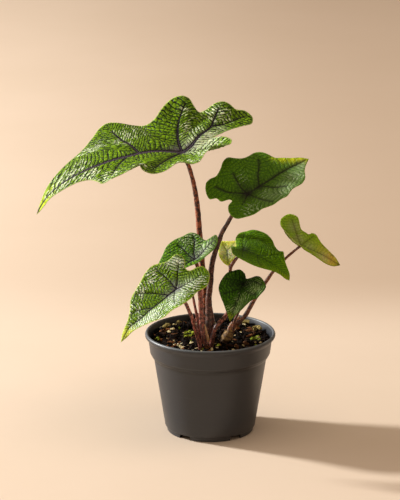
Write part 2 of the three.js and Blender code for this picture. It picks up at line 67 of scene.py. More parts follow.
CLEARANCE = 0.3
SOIL_SLACK = 0.25
SOIL_LEVEL = 86
SOIL_BACK_RISE = 3
SOIL_EDGE_RADIUS = 54.4
MOUND_HEIGHT = 3
MOUND_SPREAD = 15
MOUND_CENTRE = (-1, -22)
SOIL_RINGS = 64
SOIL_STEPS = 200
BED_GRID = 2.0

HALF_BLADE = 0.35
EDGE_HALF_BLADE = 0.14
BLADE_GRID = 0.85
BLADE_EASING = 14       # rounds in which a blade's sheet is evened out
RIB_GRID = 1.2
RIB_TAPER = 0.72        # share of a rib's width that is gone at its end
RIB_RUN_ON = 30         # how far a rib's line runs on past its end, for its side veins
RIB_GROOVE = 0.5        # how deep a rib lies in the upper side
RIB_PROUD = 0.75        # how far it stands out of the underside
USUAL_LEAN = 0.25       # how far side veins lean where a leaf gives no lean
SIDE_VEIN_BEND = 0.006
QUILT_SHARE = 0.14      # swelling between the side veins, as a share of their spacing
STEM_SIDES = 20
STEM_GRID = 1.2
STEM_WAVER = 0.035      # unevenness of a stem's radius, as a share of it
STEM_END = 5            # length of the swollen end under the blade
STEM_END_SWELL = 0.25
STEM_END_DROP = 0.25
TUCK_REACH = 8          # how far round the join a stem is kept under its blade, and how deep
TUCK_DEPTH = 0.55

CORM_BASE = (6.9, -14.5, 80)
CORM_LEAN = (0.64, 0.1, 1)
CORM_PROFILE = [(0, 0), (2.8, 0.5), (3.6, 3), (3.8, 8), (4.2, 11), (4.9, 14), (5.1, 16.5),
                (4.7, 19.3), (3.8, 21.8), (2.8, 23.3), (0, 24.2)]
CORM_STEPS = 56
CORM_RING_PITCH = 1.25  # how fast the rings follow each other, in radians per millimetre

SHEATH_ROWS = 36
SHEATH_COLUMNS = 14
SHEATH_HALF = 0.22

EYE_PLACE = (-0.009372, -2.432530, 0.868971)    # metres
EYE_TILT = 74           # degrees up from straight down: the photo looks down by 16 degrees
EYE_LENS = 200
EYE_SENSOR = 36
FLOOR_REACH = 6000

# One entry for each leaf. The blade's own frame starts where the petiole joins it: heading turns its long
# axis in plan from +X, pitch tips the axis down, roll turns the blade on it.
# edge: [along, across to the left, lift out of the plane], from the tip round.
# ribs: the main veins, each a width at its start and the [along, across] points that it runs through.
# leans: for some ribs, how far their side veins lean towards the rib's end on its right and on its left.
# sheen: painted glints on the cells between the veins, [along, across, radius, strength]; below 0 takes away.
# glare, lime, dusk, haze: like spots, for painted reflection, tip colour, dark purple and painted shade,
# lilac.
# petiole: [x, y, z, radius] from the foot up to the join.
LEAVES = [
    dict(
        name="large_front", heading=202, pitch=0, roll=2, power=3, slopes=(0.22, 0.2, 0.1, 0.42),
        edge=[[141, 4, -43], [131, -13, -36], [122, -25, -29], [111, -35, -22], [95, -46, -14],
              [78, -53, -5], [64, -62, 4], [53, -72, 10], [45, -74, 13], [37, -69, 14], [23, -66, 11],
              [14, -56, 13], [5, -57, 18], [-5, -65, 25], [-18, -73, 31], [-27, -71, 34], [-33, -67, 32],
              [-36, -60, 25], [-40, -59, 20], [-47, -62, 20], [-59, -66, 25], [-66, -63, 27],
              [-71, -59, 25], [-75, -54, 21], [-85, -57, 18], [-88, -45, 15], [-82, -32, 12],
              [-71, -27, 12], [-58, -21.5, 12], [-46, -16, 11], [-36, -12, 8], [-39, -4, 11], [-41, 7, 13],
              [-40, 21, 14], [-34, 30, 13], [-28, 26, 12], [-21, 24, 11], [-9, 35, 9], [6, 55, 7],
              [13, 56, 6], [22, 57, 9], [28, 57, 9], [35, 62, 7], [45, 65, 4], [54, 63, 3], [61, 59, 6],
              [64, 56, 11], [70, 56, 8], [76, 53, 3], [86, 50, -2], [93, 43, -8], [95, 35, -8],
              [98, 22, -10], [106, 16, -13], [117, 10, -20], [128, 4.2, -29], [136, 4.1, -38]],
        ribs=[[6.8, (0, 0), (12.4, 0.9), (26.9, 1.4), (40.4, 4.2), (55.4, 7.6), (67.9, 7.4), (81.9, 6.4),
               (94.9, 3.4), (107.4, -1.6), (118.4, -6), (128, -7), (136, -2), (140.5, 3)],
              [3.2, (0, 0), (-3.6, -19.1), (-12.6, -42.1), (-21.6, -56.1), (-28.6, -64.1)],
              [3.8, (0, 0), (-10.1, -5.6), (-25.6, -20.1), (-35.1, -26.6), (-41.6, -32.1), (-47.6, -41.1),
               (-55.1, -51.1), (-59.6, -57.1)],
              [2.2, (-41.6, -32.1), (-55.1, -34.6), (-65.1, -39.1), (-71.6, -42.1), (-82, -47)],
              [3.3, (43, 4.5), (44.4, -11.1), (45.9, -28.1), (46.9, -46.6), (46.9, -58)],
              [2.8, (0, 0), (5.9, 7.4), (21.4, 24.4), (37.9, 41.9), (46.4, 51.4)],
              [2.2, (56, 7.6), (65.4, 17.4), (75.4, 28.9), (82, 38)],
              [0.6, (0, 0), (-16, 6), (-30, 14), (-36, 24)]],
        leans={0: (-0.45, 0.4), 1: (1.1, 0.1), 2: (0.6, 0.9), 4: (1.5, 0.6)},
        sheen=[[33, -42, 19, 0.7], [-19, -32, 15, 0.7], [-26, -55, 12, 0.5], [105, -8, 22, 0.75],
               [122, 0, 16, 0.9], [72, -38, 17, 0.6], [-54, -50, 15, 0.9], [-30, -6, 20, 1.0],
               [86, 40, 14, 0.9], [62, 50, 12, 0.8], [26, 52, 12, 0.8], [8, 42, 12, 0.8],
               [-12, 28, 13, 1.0], [95, 15, 16, 0.9], [66, -16, 9, -0.9], [2, -38, 13, -1.0],
               [20, -16, 14, -0.9], [-84, -49, 13, -1.0], [78, 16, 8, -1.0], [36, 34, 11, -1.0],
               [50, -64, 9, -0.8], [136, 2, 9, -1.0], [46, -27, 11, 0.7]],
        lime=[[132, 0, 9, 0.7], [122, -14, 6, 0.5]],
        # here dusk is painted shade, dimming the left lobes
        dusk=[[33, -44, 16, 0.2], [66, -46, 17, 0.26], [100, -14, 18, 0.24], [-22, -34, 12, 0.15]],
        haze=[[3, -2, 7, 0.6], [14, 1, 5, 0.4], [-9, -6, 5, 0.5]],
        glare=[[-19, -7, 12, 0.85], [-34, -17, 9, 0.6], [-8, 5, 8, 0.5], [-48, -26, 6, 0.4]],
        petiole=[[-4.5, -11, 78.5, 2.8], [-4.5, -9.5, 94, 2.8], [-4.5, -5, 108, 2.8], [-5, 0, 121, 2.75],
                 [-5.5, 5, 136.5, 2.7], [-7.7, 11, 158, 2.7], [-10, 16.5, 185, 2.6],
                 [-11.3, 18.5, 202.5, 2.5], [-14, 19.5, 223, 2.2], [-17.2, 20, 237, 1.95],
                 [-20, 20, 246, 1.9], [-25.7, 20, 257.5, 1.8]],
    ),
    dict(
        name="upper_right", heading=26, pitch=-27, roll=-23, power=2, slopes=(0, 0, 0.2, 0.2),
        edge=[[68, 0, -7], [63, 5, -5], [56, 9, -3], [49, 14, -1], [44, 18, 0], [41, 25, 2], [38, 30, 3],
              [33, 33, 4], [26, 33, 5], [20, 34, 6], [15, 38, 7], [10, 43, 8], [4, 42, 8], [-3, 37, 7],
              [-10, 34, 6], [-16, 35, 6], [-21, 34, 6], [-26, 29, 4], [-29, 19, 2], [-24, 15, 2],
              [-23, 10, 1], [-16, 6, 1], [-15, 4, 0], [-20, 2, 0], [-24, -3, 0], [-26, -10, 1],
              [-25, -18, 2], [-19, -24, 4], [-11, -28, 5], [-3, -28, 5], [7, -32, 6], [17, -31, 5],
              [22, -32, 5], [32, -27, 3], [42, -27, 2], [49, -22, 0], [56, -11, -3], [64, -3, -6]],
        ribs=[[2.3, (0, 0), (13.8, 0), (25.3, 0), (35.8, 0.8), (49.3, 0.4), (66, 0)],
              [1.4, (13, 0), (19.8, 10.9), (26.3, 17.9), (31, 25)],
              [1.5, (0, 0), (-0.5, 8.9), (1.3, 17.9), (3.5, 27)],
              [1.5, (0, 0), (-5.2, 5.9), (-12.2, 12.9), (-15.2, 19.4), (-18, 26)],
              [1.3, (0, 0), (-6.2, -4.6), (-12, -8.4)],
              [1.1, (0, 0), (2.3, -10.1), (5.3, -20.1), (9.3, -29)],
              [1.2, (13, 0), (15.8, -2.6), (21.3, -12.1), (31, -20.5)]],
        sheen=[[12, -12, 9, 0.5], [26, -24, 14, 0.5], [-9, -19, 10, 0.7], [45, -13, 14, 0.5],
               [8, 15, 9, 0.5]],
        glare=[[14, -22, 12, 0.2], [30, -22, 12, 0.28], [46, -14, 12, 0.28], [57, -6, 7, 0.4],
               [60, -2, 4, 0.4]],
        lime=[[62, 4, 5, 1.0], [56, 8, 5, 1.0], [49, 12.5, 4.5, 0.8], [43, 18, 3.5, 0.5]],
        dusk=[[0, 0, 9, 0.9], [12, -1, 6, 0.8], [2, 9, 6, 0.55], [21, 0, 4, 0.55], [29, 0.5, 3.5, 0.4],
              [-7, 7, 5, 0.5], [17, 7, 4, 0.5]],
        petiole=[[-0.5, -20, 77.5, 3.6], [-0.1, -20, 92.5, 4.5], [-0.1, -20, 105, 4.6],
                 [-0.4, -20, 113, 4.1], [-1, -20, 120, 3.3], [-1.5, -19, 130.5, 2.8],
                 [-0.6, -17, 138.5, 2.65], [0.3, -15, 146.5, 2.6], [0.7, -13, 154.5, 2.6],
                 [2.1, -11, 164, 2.5], [5.1, -10, 174.5, 2.35], [8, -10, 183, 2.2], [10.4, -11, 190.5, 2.1],
                 [14.7, -12, 198.5, 1.9], [22.1, -14, 212, 1.7], [33.6, -15, 227.9, 1.6]],
    ),
    dict(
        name="middle_left", heading=200, pitch=16, roll=14, power=2, slopes=(0, 0.1, 0.4, 0.3),
        edge=[[45, 1, -9], [39, -7, -6], [34, -13, -3], [28, -18, 0], [23, -22, 2], [15, -28, 6],
              [6, -30, 8], [-2, -29, 9], [-10, -30, 9], [-15, -25, 8], [-16, -18, 7], [-18, -14, 6],
              [-20, -9, 10], [-25, -2, 16], [-23, 6, 15], [-17, 11, 12], [-7, 12, 8], [3, 14, 6],
              [12, 14, 6], [25, 13, 3], [37, 8, -3]],
        ribs=[[1.8, (0, 0), (5.4, -0.2), (9.9, 1.8), (25, 3), (44, 1)],
              [1.3, (0, 0), (-3.1, -8.2), (-8.6, -18.2), (-11, -26)],
              [1.2, (0, 0), (-5.6, -1.2), (-13.6, -3.2), (-21.6, -1.2)],
              [1.1, (0, 0), (2.4, -7.2), (3.9, -15.2), (6, -24)]],
        sheen=[[-10, -13, 8, 0.9], [-12, -2, 9, 1.0], [-2, -21, 9, 0.8], [-9, -23, 9, 0.9],
               [5, -16, 6, 0.5], [18, -20, 10, -1.0], [9, -6, 5, -0.6]],
        glare=[[-14, 1, 8, 0.35], [-7, -5, 5, 0.2]],
        haze=[[-1, -1, 5, 0.5], [-8, -4, 5, 0.35]],
        petiole=[[-3.5, -31.5, 77.5, 2.1], [-3.5, -31.5, 88, 2.1], [-5, -31.5, 94.5, 2.1],
                 [-6.5, -31, 101.5, 2.2], [-8, -30.5, 112.5, 2.2], [-8.5, -30, 123, 2.2],
                 [-9, -29, 133.5, 2.2], [-10, -27, 148, 2.1], [-11.5, -22, 161.5, 1.8],
                 [-13.9, -18.5, 167.3, 1.6]],
    ),
    dict(
        name="lower_left", heading=201, pitch=30, roll=24, power=2, slopes=(0, 0, 0.42, 0.33),
        edge=[[67, 2, -13], [60, -4, -10], [51, -8, -6], [44, -13, -2], [37, -20, 2], [29, -23, 5],
              [21, -26, 7], [12, -30, 9], [3, -31, 10], [-5, -28, 9], [-11, -27, 8], [-19, -28, 8],
              [-23, -25, 7], [-23, -18, 5], [-19, -13, 3], [-20, -8, 2], [-27, -7, 1], [-32, -5, 0],
              [-33, 4, 0], [-27, 18, 6], [-20, 25, 9], [-11, 24, 9], [-3, 27.7, 11], [7, 28.6, 12],
              [17, 25.7, 10], [27, 24, 7], [37, 17, 3], [47, 8, -4], [54, 4, -8], [60, 3, -11]],
        ribs=[[1.9, (0, 0), (8.3, 0.4), (17.8, 0.9), (30.8, -0.1), (41.8, -0.1), (51.8, -2.1), (60, 0),
               (66, 2)],
              [1.3, (0, 0), (-4.7, -5.1), (-9.2, -10.6), (-17.2, -19.6)],
              [1.2, (0, 0), (-0.2, -10.1), (1.8, -21.6), (3, -28)],
              [1.3, (0, 0), (-9.2, 1.9), (-18.7, 2.9), (-27, 2.5)],
              [1.1, (8.3, 0.4), (15.8, -7.6), (23.3, -14.6), (31, -20)],
              [0.9, (26, 0), (40.3, -8.6), (47, -9.5)],
              [0.9, (1.5, 0), (8.3, 11.9), (11.3, 19.9)]],
        leans={0: (0.4, 0.7)},
        sheen=[[-15, 11, 14, 1.0], [2, 13, 14, 1.0], [11, 15, 14, 1.0], [30, 12, 14, 1.0], [45, 6, 12, 1.0],
               [-12, -24, 9, 1.0], [-17, -18, 8, 1.0], [10, -25, 9, 0.8], [26, -20, 10, 0.8],
               [8, -12, 12, 0.45], [40, -12, 9, 0.7], [-19, -5, 7, -0.9], [18, -4, 6, -0.8],
               [24, -7, 6, -0.7]],
        glare=[[-12, 4, 7, 0.38], [6, 9, 7, 0.38], [-16, -22, 5, 0.5], [34, 8, 8, 0.25]],
        haze=[[-1, 1, 6, 0.65], [9, 1, 5, 0.5], [-3, -5, 4, 0.4]],
        lime=[[57, 3, 7, 0.9], [61, -2, 7, 0.9]],
        petiole=[[-8.5, -32, 77.5, 1.9], [-9, -32, 88.5, 1.9], [-10.5, -32.5, 95, 1.9],
                 [-12.5, -34, 102.5, 1.8], [-14.5, -36.5, 110.5, 1.7], [-16.5, -39.5, 119, 1.7],
                 [-19.5, -43.5, 127.5, 1.7], [-22, -47, 134.5, 1.6], [-27.5, -51.5, 144, 1.4],
                 [-30.6, -54, 150, 1.4]],
    ),
    dict(
        name="middle_right", heading=327, pitch=10, roll=-12, power=2, slopes=(0, 0, 0.32, 0.36),
        edge=[[53, -5, -10], [48, 3, -9], [39, 10, -4], [34, 15, -1], [31, 18, 1], [27, 17, 1], [21, 19, 3],
              [16, 23, 5], [8, 26, 7], [1, 27, 7], [-7, 25, 7], [-12, 22, 5], [-16, 17, 4], [-16, 11, 2],
              [-13, 6, 1], [-9, 1, 0], [-13, -1, 0], [-9, -7, 2], [0, -18, 5], [8, -23, 7], [19, -25, 7],
              [26, -22, 4], [33, -17, 1], [39, -10, -3], [44, -6, -7], [49, -6, -9]],
        ribs=[[1.3, (0, 0), (7.6, 0.4), (14, 0.6), (30, 0.4), (44.6, 0), (52, -4)],
              [0.8, (0, 0), (-3.4, 11.4), (1.6, 16.9), (11.6, 18)],
              [0.8, (0, 0), (-7, 9), (-11, 18)],
              [0.8, (0, 0), (5, -10), (12, -20)],
              [0.7, (14, 0.6), (22, 6), (30, 14)],
              [0.7, (14, 0.6), (22, -10), (30, -17)]],
        leans={0: (1.2, 1.4), 1: (1.6, 1.0)},
        sheen=[[20, 8, 16, 0.3], [4, 14, 12, 0.3], [10, -14, 14, 0.15]],
        lime=[[50, -5, 6, 0.9], [42, -8, 6, 0.5], [30, -15, 5, 0.3]],
        dusk=[[1, 1, 6, 0.75], [8, 1, 4, 0.45]],
        petiole=[[0.5, -28.3, 77.5, 2], [1, -28.3, 87, 2], [1.5, -28.3, 95, 2], [2.7, -28, 100.5, 2],
                 [4.8, -27, 105.5, 2], [8.3, -24, 110, 2], [13.2, -20.5, 114, 1.9], [16, -17, 118.5, 1.8],
                 [16.5, -13.5, 128, 1.7], [17.5, -11, 141.5, 1.6], [18.5, -11, 157.5, 1.5],
                 [20.5, -11.5, 162, 1.5], [24, -12, 167.5, 1.5], [30.3, -12, 174.7, 1.5]],
    ),
    dict(
        name="lower_right", heading=241, pitch=38, roll=3, power=2, slopes=(0, 0, 0.3, 0.3),
        edge=[[39, 0, -8], [34, -4, -5], [26, -10, -1], [20, -15, 2], [13, -19, 4], [5, -19, 5],
              [-3, -17, 5], [-8, -13, 3], [-11, -8, 2], [-9, -3, 0], [-4, 1, 0], [-5, 5, 1], [-7, 9, 2],
              [-7, 13, 3], [-4, 18, 5], [1, 23, 6], [5, 26, 7], [9, 26, 7], [13, 24, 6], [17, 21, 4],
              [19, 17, 3], [24, 12, 0], [28, 9, -2], [33, 5, -4]],
        ribs=[[1.3, (0, 0), (9.5, 0.3), (17, 1.8), (24.5, 0.6), (33.5, 0.6), (38, 0)],
              [0.8, (0, 0), (1, -9), (3, -16)],
              [0.8, (0, 0), (-1, 9), (3, 21)],
              [0.7, (7, 0.2), (13, -7), (18, -13)],
              [0.7, (6, 0.2), (11, 9), (14, 20)]],
        leans={0: (1.0, 1.3), 2: (1.2, 0.8)},
        sheen=[[7, 16, 8, 1.0], [2, 8, 7, 1.0], [17, 5, 8, 1.0], [28, 2, 8, 1.0], [-2, 14, 6, 0.8],
               [12, -10, 9, -1.0]],
        glare=[[24, 6, 7, 0.15], [8, 17, 8, 0.2]],
        lime=[[37, 0, 4, 1.0]],
        dusk=[[2.5, 0.6, 8, 0.85], [5, -8, 6, 0.5], [8.5, -9.4, 1.1, 1.0]],
        petiole=[[20.5, -14, 97, 1.4], [22, -14.3, 107.5, 1.3], [24.5, -15, 114, 1.2],
                 [27, -16.5, 121.5, 1.1], [28.5, -19, 130.5, 1.1], [29.5, -24, 141.5, 1],
                 [30.3, -30, 150, 1]],
    ),
    dict(
        name="far_right", heading=350, pitch=19, roll=-4, power=2, slopes=(0, 0.1, 0.5, 0.4),
        edge=[[40, 0, -4], [34, 5, -1], [28, 8, 1], [22, 10, 3], [16, 13, 5], [12, 16, 7], [9, 19, 8],
              [5, 19, 8], [3, 16, 7], [0, 17, 7], [-5, 18, 8], [-9, 24, 11], [-13, 29, 14], [-20, 29, 14],
              [-24, 25, 12], [-26, 20, 9], [-24, 14, 6], [-15, 7, 3], [-8, 2, 2], [-9, -2, 4], [-16, -5, 9],
              [-20, -9, 13], [-17, -12, 13], [-9, -13, 9], [-1, -13, 6], [4, -13, 3], [14, -13, 1],
              [22, -11, -2], [29, -7, -5], [35, -3, -6]],
        ribs=[[1.2, (0, 0), (12, 0), (25, 0.5), (39, 0)],
              [0.8, (0, 0), (-8, -5), (-18, -10)],
              [0.9, (0, 0), (-8, 11), (-17, 24)],
              [0.7, (0, 0), (4, 8), (8, 17)],
              [0.7, (6, 0), (11, -7), (15, -12)]],
        sheen=[[-5, 11, 8, 0.4], [6, 3, 9, 0.3]],
        glare=[[-10, -12, 9, 0.8], [-12, 16, 7, 0.5], [-4, 6, 6, 0.55], [8, 2, 6, 0.45], [22, -3, 7, 0.5]],
        dusk=[[-17, 8, 2.5, 0.6], [-9, 3, 2.5, 0.5], [30, 6, 2, 0.5], [20, 11, 2, 0.5],
              [39.5, 0, 2.5, 0.9]],
        lime=[[30, 1, 11, 1.0], [20, 6, 7, 0.5]],
        petiole=[[18.5, -10, 97, 2.1], [21.5, -9.8, 101.5, 2.15], [27, -10, 106.5, 2.15],
                 [32, -9.5, 112, 2.1], [38.7, -8.5, 124, 2], [43.8, -8, 133, 1.95], [51.5, -7, 144.5, 1.75],
                 [57, -6.5, 152.5, 1.45], [69, -5.5, 165.5, 1.25], [82, -5, 177, 1.1]],
    ),
    dict(
        name="small_pale", heading=274, pitch=35, roll=0, power=2, slopes=(0, 0, 0.15, 0.15),
        edge=[[16, 0, -2], [13, -4, -1], [9, -7, 1], [1, -8, 1], [-6, -7, 1], [-11, -5, 1], [-11.6, -2, 0],
              [-11.6, 0.5, 0], [-11.6, 3, 0], [-11, 8, 1], [-6, 11, 2], [1, 11, 2], [7, 8, 1], [12, 4, 0]],
        ribs=[[0.9, (0, 0), (8, 0), (15, 0)],
              [0.7, (0, 0), (-5, 5), (-9, 8)],
              [0.7, (0, 0), (-6, -3), (-9, -5)],
              [0.6, (3, 0), (7, 5)],
              [0.6, (3, 0), (8, -5)]],
        sheen=[[4, 0, 8, 0.4]],
        glare=[[3, 0, 8, 0.8]],
        lime=[[-8, -5, 6, 1.0], [-9, 4, 6, 1.0], [14, 0, 4, 0.8]],
        petiole=[[2.5, -10, 77.5, 1.2], [2.5, -10, 87, 1.2], [3.5, -9, 93, 1.2], [5.5, -7, 98, 1.2],
                 [9, -4, 102.5, 1.2], [13, -1, 107, 1.2], [16, 2, 112.5, 1.2], [16.5, 5, 122.5, 1.2],
                 [17.5, 9, 135.5, 1.1], [18, 13, 150.5, 1.1], [15.4, 16, 165.9, 1]],
    ),
    dict(
        name="small_hidden", heading=150, pitch=12, roll=10, power=2, slopes=(0, 0, 0.4, 0.4),
        edge=[[19, 0, -3], [13, -4, 1], [5, -6, 3], [-2, -5, 2], [-5, 0, 0], [-2, 5, 2], [5, 6, 3],
              [13, 4, 1]],
        ribs=[[0.8, (0, 0), (10, 0), (18, 0)],
              [0.5, (1, 0), (6, 4)],
              [0.5, (1, 0), (6, -4)]],
        sheen=[[8, 0, 8, 0.3]],
        petiole=[[-8.5, -24, 77.5, 1.5], [-8.5, -24, 88.5, 1.5], [-9.5, -24, 95.5, 1.5],
                 [-11.5, -24, 110.5, 1.5], [-12.5, -24, 117.5, 1.4], [-14, -24, 125, 1.2],
                 [-17.5, -24.5, 144.5, 1.1]],
    ),
]

# How each blade is finished: its colours, the strength of its net, painted glints, ribs and their soft dark
# edge,
# its gloss, the spacing of the side veins, the length of a cell and how much light comes through it
# the highlight colour is painted on for the glints and the smooth reflection
BLADE_FINISH = {
    "large_front": dict(
        green="#8ab40a", shade="#223e05", line="#0d1a07", vein="#17111a", highlight="#e0eec4",
        margin="#b2c46a", tip="#c8da14", under="#7f9a50", net=1.0, glint_streak=1.2, rib=1.0, halo=0.4,
        gloss=0.4, spacing=4.5, cell=4.4, glow=0.15),
    "upper_right": dict(
        green="#6e9a0a", shade="#3c6408", line="#284808", vein="#1e1318", highlight="#b9c9a4",
        margin="#6b9414", tip="#dce610", under="#6b8040", net=0.5, glint_streak=0.6, rib=0.62, halo=0.5,
        gloss=0.48, spacing=3.9, glow=0.1),
    "middle_left": dict(
        green="#7cb00e", shade="#284c08", line="#112408", vein="#17111a", highlight="#c6d8ac",
        margin="#6f9438", tip="#6f9438", under="#7c9a56", net=0.9, glint_streak=0.95, rib=0.95, halo=0.4,
        gloss=0.42, spacing=3.2, cell=3.2, glow=0.1),
    "lower_left": dict(
        green="#94bc10", shade="#446c0a", line="#203a08", vein="#1a131a", highlight="#f1ffe6",
        margin="#c0d45c", tip="#e0e83c", under="#8fa85e", net=1.0, glint_streak=1.2, rib=1.0, halo=0.3,
        gloss=0.38, spacing=2.9, cell=2.6, glow=0.15),
    "middle_right": dict(
        green="#8abc06", shade="#4c7a04", line="#305204", vein="#241820", highlight="#a3b45c",
        margin="#86a80e", tip="#96a60a", under="#6f8a40", net=0.75, glint_streak=0.6, rib=0.35, halo=0.15,
        gloss=0.5, spacing=3.4, glow=0.1),
    "lower_right": dict(
        green="#568c0c", shade="#274c06", line="#152e05", vein="#100c12", highlight="#a6c07e",
        margin="#38560f", tip="#c0cf20", under="#55743e", net=0.8, glint_streak=1.1, rib=0.4, halo=0.5,
        gloss=0.45, spacing=2.8, glow=0.05),
    "far_right": dict(
        green="#b0cb10", shade="#86a20c", line="#6a7c10", vein="#3a2018", highlight="#c0bd8c",
        margin="#848a20", tip="#cfae48", under="#a3ad62", net=0.4, glint_streak=0.5, rib=0.4, halo=0.2,
        gloss=0.5, spacing=3.0, glow=0.5),
    "small_pale": dict(
        green="#eef468", shade="#d2dc78", line="#bcc47e", vein="#8f8c74", highlight="#efedd6",
        margin="#eef25c", tip="#eef250", under="#dce68c", net=0.4, glint_streak=0.6, rib=0.45, halo=0.3,
        gloss=0.5, spacing=2.6, glow=0.8),
    "small_hidden": dict(
        green="#7f9c30", shade="#5d7c22", line="#4f6c20", vein="#55503c", highlight="#b5c290",
        margin="#a2b650", tip="#a9bc44", under="#98a868", net=0.4, glint_streak=0.4, rib=0.6, halo=0.3,
        gloss=0.5, spacing=2.4, glow=0.3),
}

LILAC_HAZE = "#8d8398"
RIB_HIGHLIGHT = "#655768"
RIB_BELOW = "#5a3430"

# The stem finishes: base colour, light mottling, dark bands, how many bands, and gloss
STEM_FINISH = {
    "petiole_red": dict(base="#94432a", light="#d68f60", dark="#1c0a0a", bands=0.54, gloss=0.34),
    "petiole_dark": dict(base="#50231b", light="#b07f68", dark="#160a09", bands=0.53, gloss=0.28),
    "petiole_mauve": dict(base="#96493b", light="#d6a08c", dark="#260e0c", bands=0.53, gloss=0.34),
    "petiole_brown": dict(base="#84442c", light="#c48e60", dark="#2a120c", bands=0.52, gloss=0.36),
}
STEM_SLOTS = {
    "large_front": "petiole_red", "upper_right": "petiole_dark", "middle_left": "petiole_mauve",
    "lower_left": "petiole_mauve", "middle_right": "petiole_mauve", "lower_right": "petiole_brown",
    "far_right": "petiole_brown", "small_pale": "petiole_brown", "small_hidden": "petiole_mauve",
}

# Dry papery sheaths at the foot of the shoots
SHEATHS = [
    dict(name="dry_sheath_crown", half_width=1.9, foot=(-1.4, -26.3, 90.1), tip=(-5.4, -25.4, 108.5),
         facing=(-0.45, -1, 0.1)),
    dict(name="dry_sheath_corm_left", half_width=1.8, foot=(16.6, -16.65, 100.4), tip=(20, -16.1, 108),
         facing=(-0.3, -1, 0.1)),
    dict(name="dry_sheath_corm_back", half_width=2.0, foot=(20.2, -6.3, 97), tip=(26.8, -6.4, 110.5),
         facing=(0.2, -1, 0)),
]


# ---------------------------------------------------------------- small helpers

def unit(vector):
    vector = np.asarray(vector, float)
    return vector / np.linalg.norm(vector)


def smoothstep(low, high, value):
    share = np.clip((value - low) / (high - low), 0, 1)
    return share * share * (3 - 2 * share)


def tint(code):
    """A colour written as #rrggbb, as the linear values that a node takes."""
    parts = [int(code[i:i + 2], 16) / 255 for i in (1, 3, 5)]
    return tuple(c / 12.92 if c <= 0.04045 else ((c + 0.055) / 1.055) ** 2.4 for c in parts) + (1.0,)


def curve_through(points, spacing):
    """Points on a smooth centripetal curve through the given ones, about a spacing apart."""
    points = np.asarray(points, float)
    padded = np.vstack([2 * points[0] - points[1], points, 2 * points[-1] - points[-2]])
    result = []
    for i in range(1, len(padded) - 2):
        p0, p1, p2, p3 = padded[i - 1:i + 3]
        k0 = 0.0
        k1 = max(np.linalg.norm(p1 - p0), 1e-6) ** 0.5
        k2 = k1 + max(np.linalg.norm(p2 - p1), 1e-6) ** 0.5
        k3 = k2 + max(np.linalg.norm(p3 - p2), 1e-6) ** 0.5
        count = max(2, int(math.ceil(np.linalg.norm(p2 - p1) / spacing)))
        for k in k1 + (k2 - k1) * np.arange(count) / count:
            a1 = (k1 - k) / (k1 - k0) * p0 + (k - k0) / (k1 - k0) * p1
            a2 = (k2 - k) / (k2 - k1) * p1 + (k - k1) / (k2 - k1) * p2
            a3 = (k3 - k) / (k3 - k2) * p2 + (k - k2) / (k3 - k2) * p3
            b1 = (k2 - k) / (k2 - k0) * a1 + (k - k0) / (k2 - k0) * a2
            b2 = (k3 - k) / (k3 - k1) * a2 + (k - k1) / (k3 - k1) * a3
            result.append((k2 - k) / (k2 - k1) * b1 + (k - k1) / (k2 - k1) * b2)
    result.append(points[-1])
    return np.array(result)


def new_object(name, data):
    thing = bpy.data.objects.new(name, data)
    bpy.context.scene.collection.objects.link(thing)
    return thing


def piece_from(name, places, faces):
    """A new smooth piece from places in millimetres and its faces."""
    mesh = bpy.data.meshes.new(name)
    mesh.from_pydata((np.asarray(places) * MM).tolist(), [], [list(face) for face in faces])
    mesh.validate()
    mesh.polygons.foreach_set("use_smooth", [True] * len(mesh.polygons))
    mesh.update()
    return new_object(name, mesh)


def shell_from(name, upper, lower, faces, rim):
    """A thin piece with the same faces above and below, closed round its rim."""
    below = len(upper)
    return piece_from(name, np.vstack([upper, lower]),
                      [tuple(f) for f in faces] + [tuple(f[::-1] + below) for f in faces] + rim)


def add_measure(piece, name, values):
    """Stores one number for each point, for the piece's material to read."""
    layer = piece.data.attributes.new(name, "FLOAT", "POINT")
    layer.data.foreach_set("value", np.asarray(values, np.float32))


def dress(piece, material, slot_name, *nodes):
    """Gives a piece its material and body, and hides the CAD nodes that it stands for."""
    if material is not None:
        piece.data.materials.clear()
        piece.data.materials.append(material)
    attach(piece, "root")
    if nodes:
        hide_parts(*nodes)
    return piece


# ---------------------------------------------------------------- node building

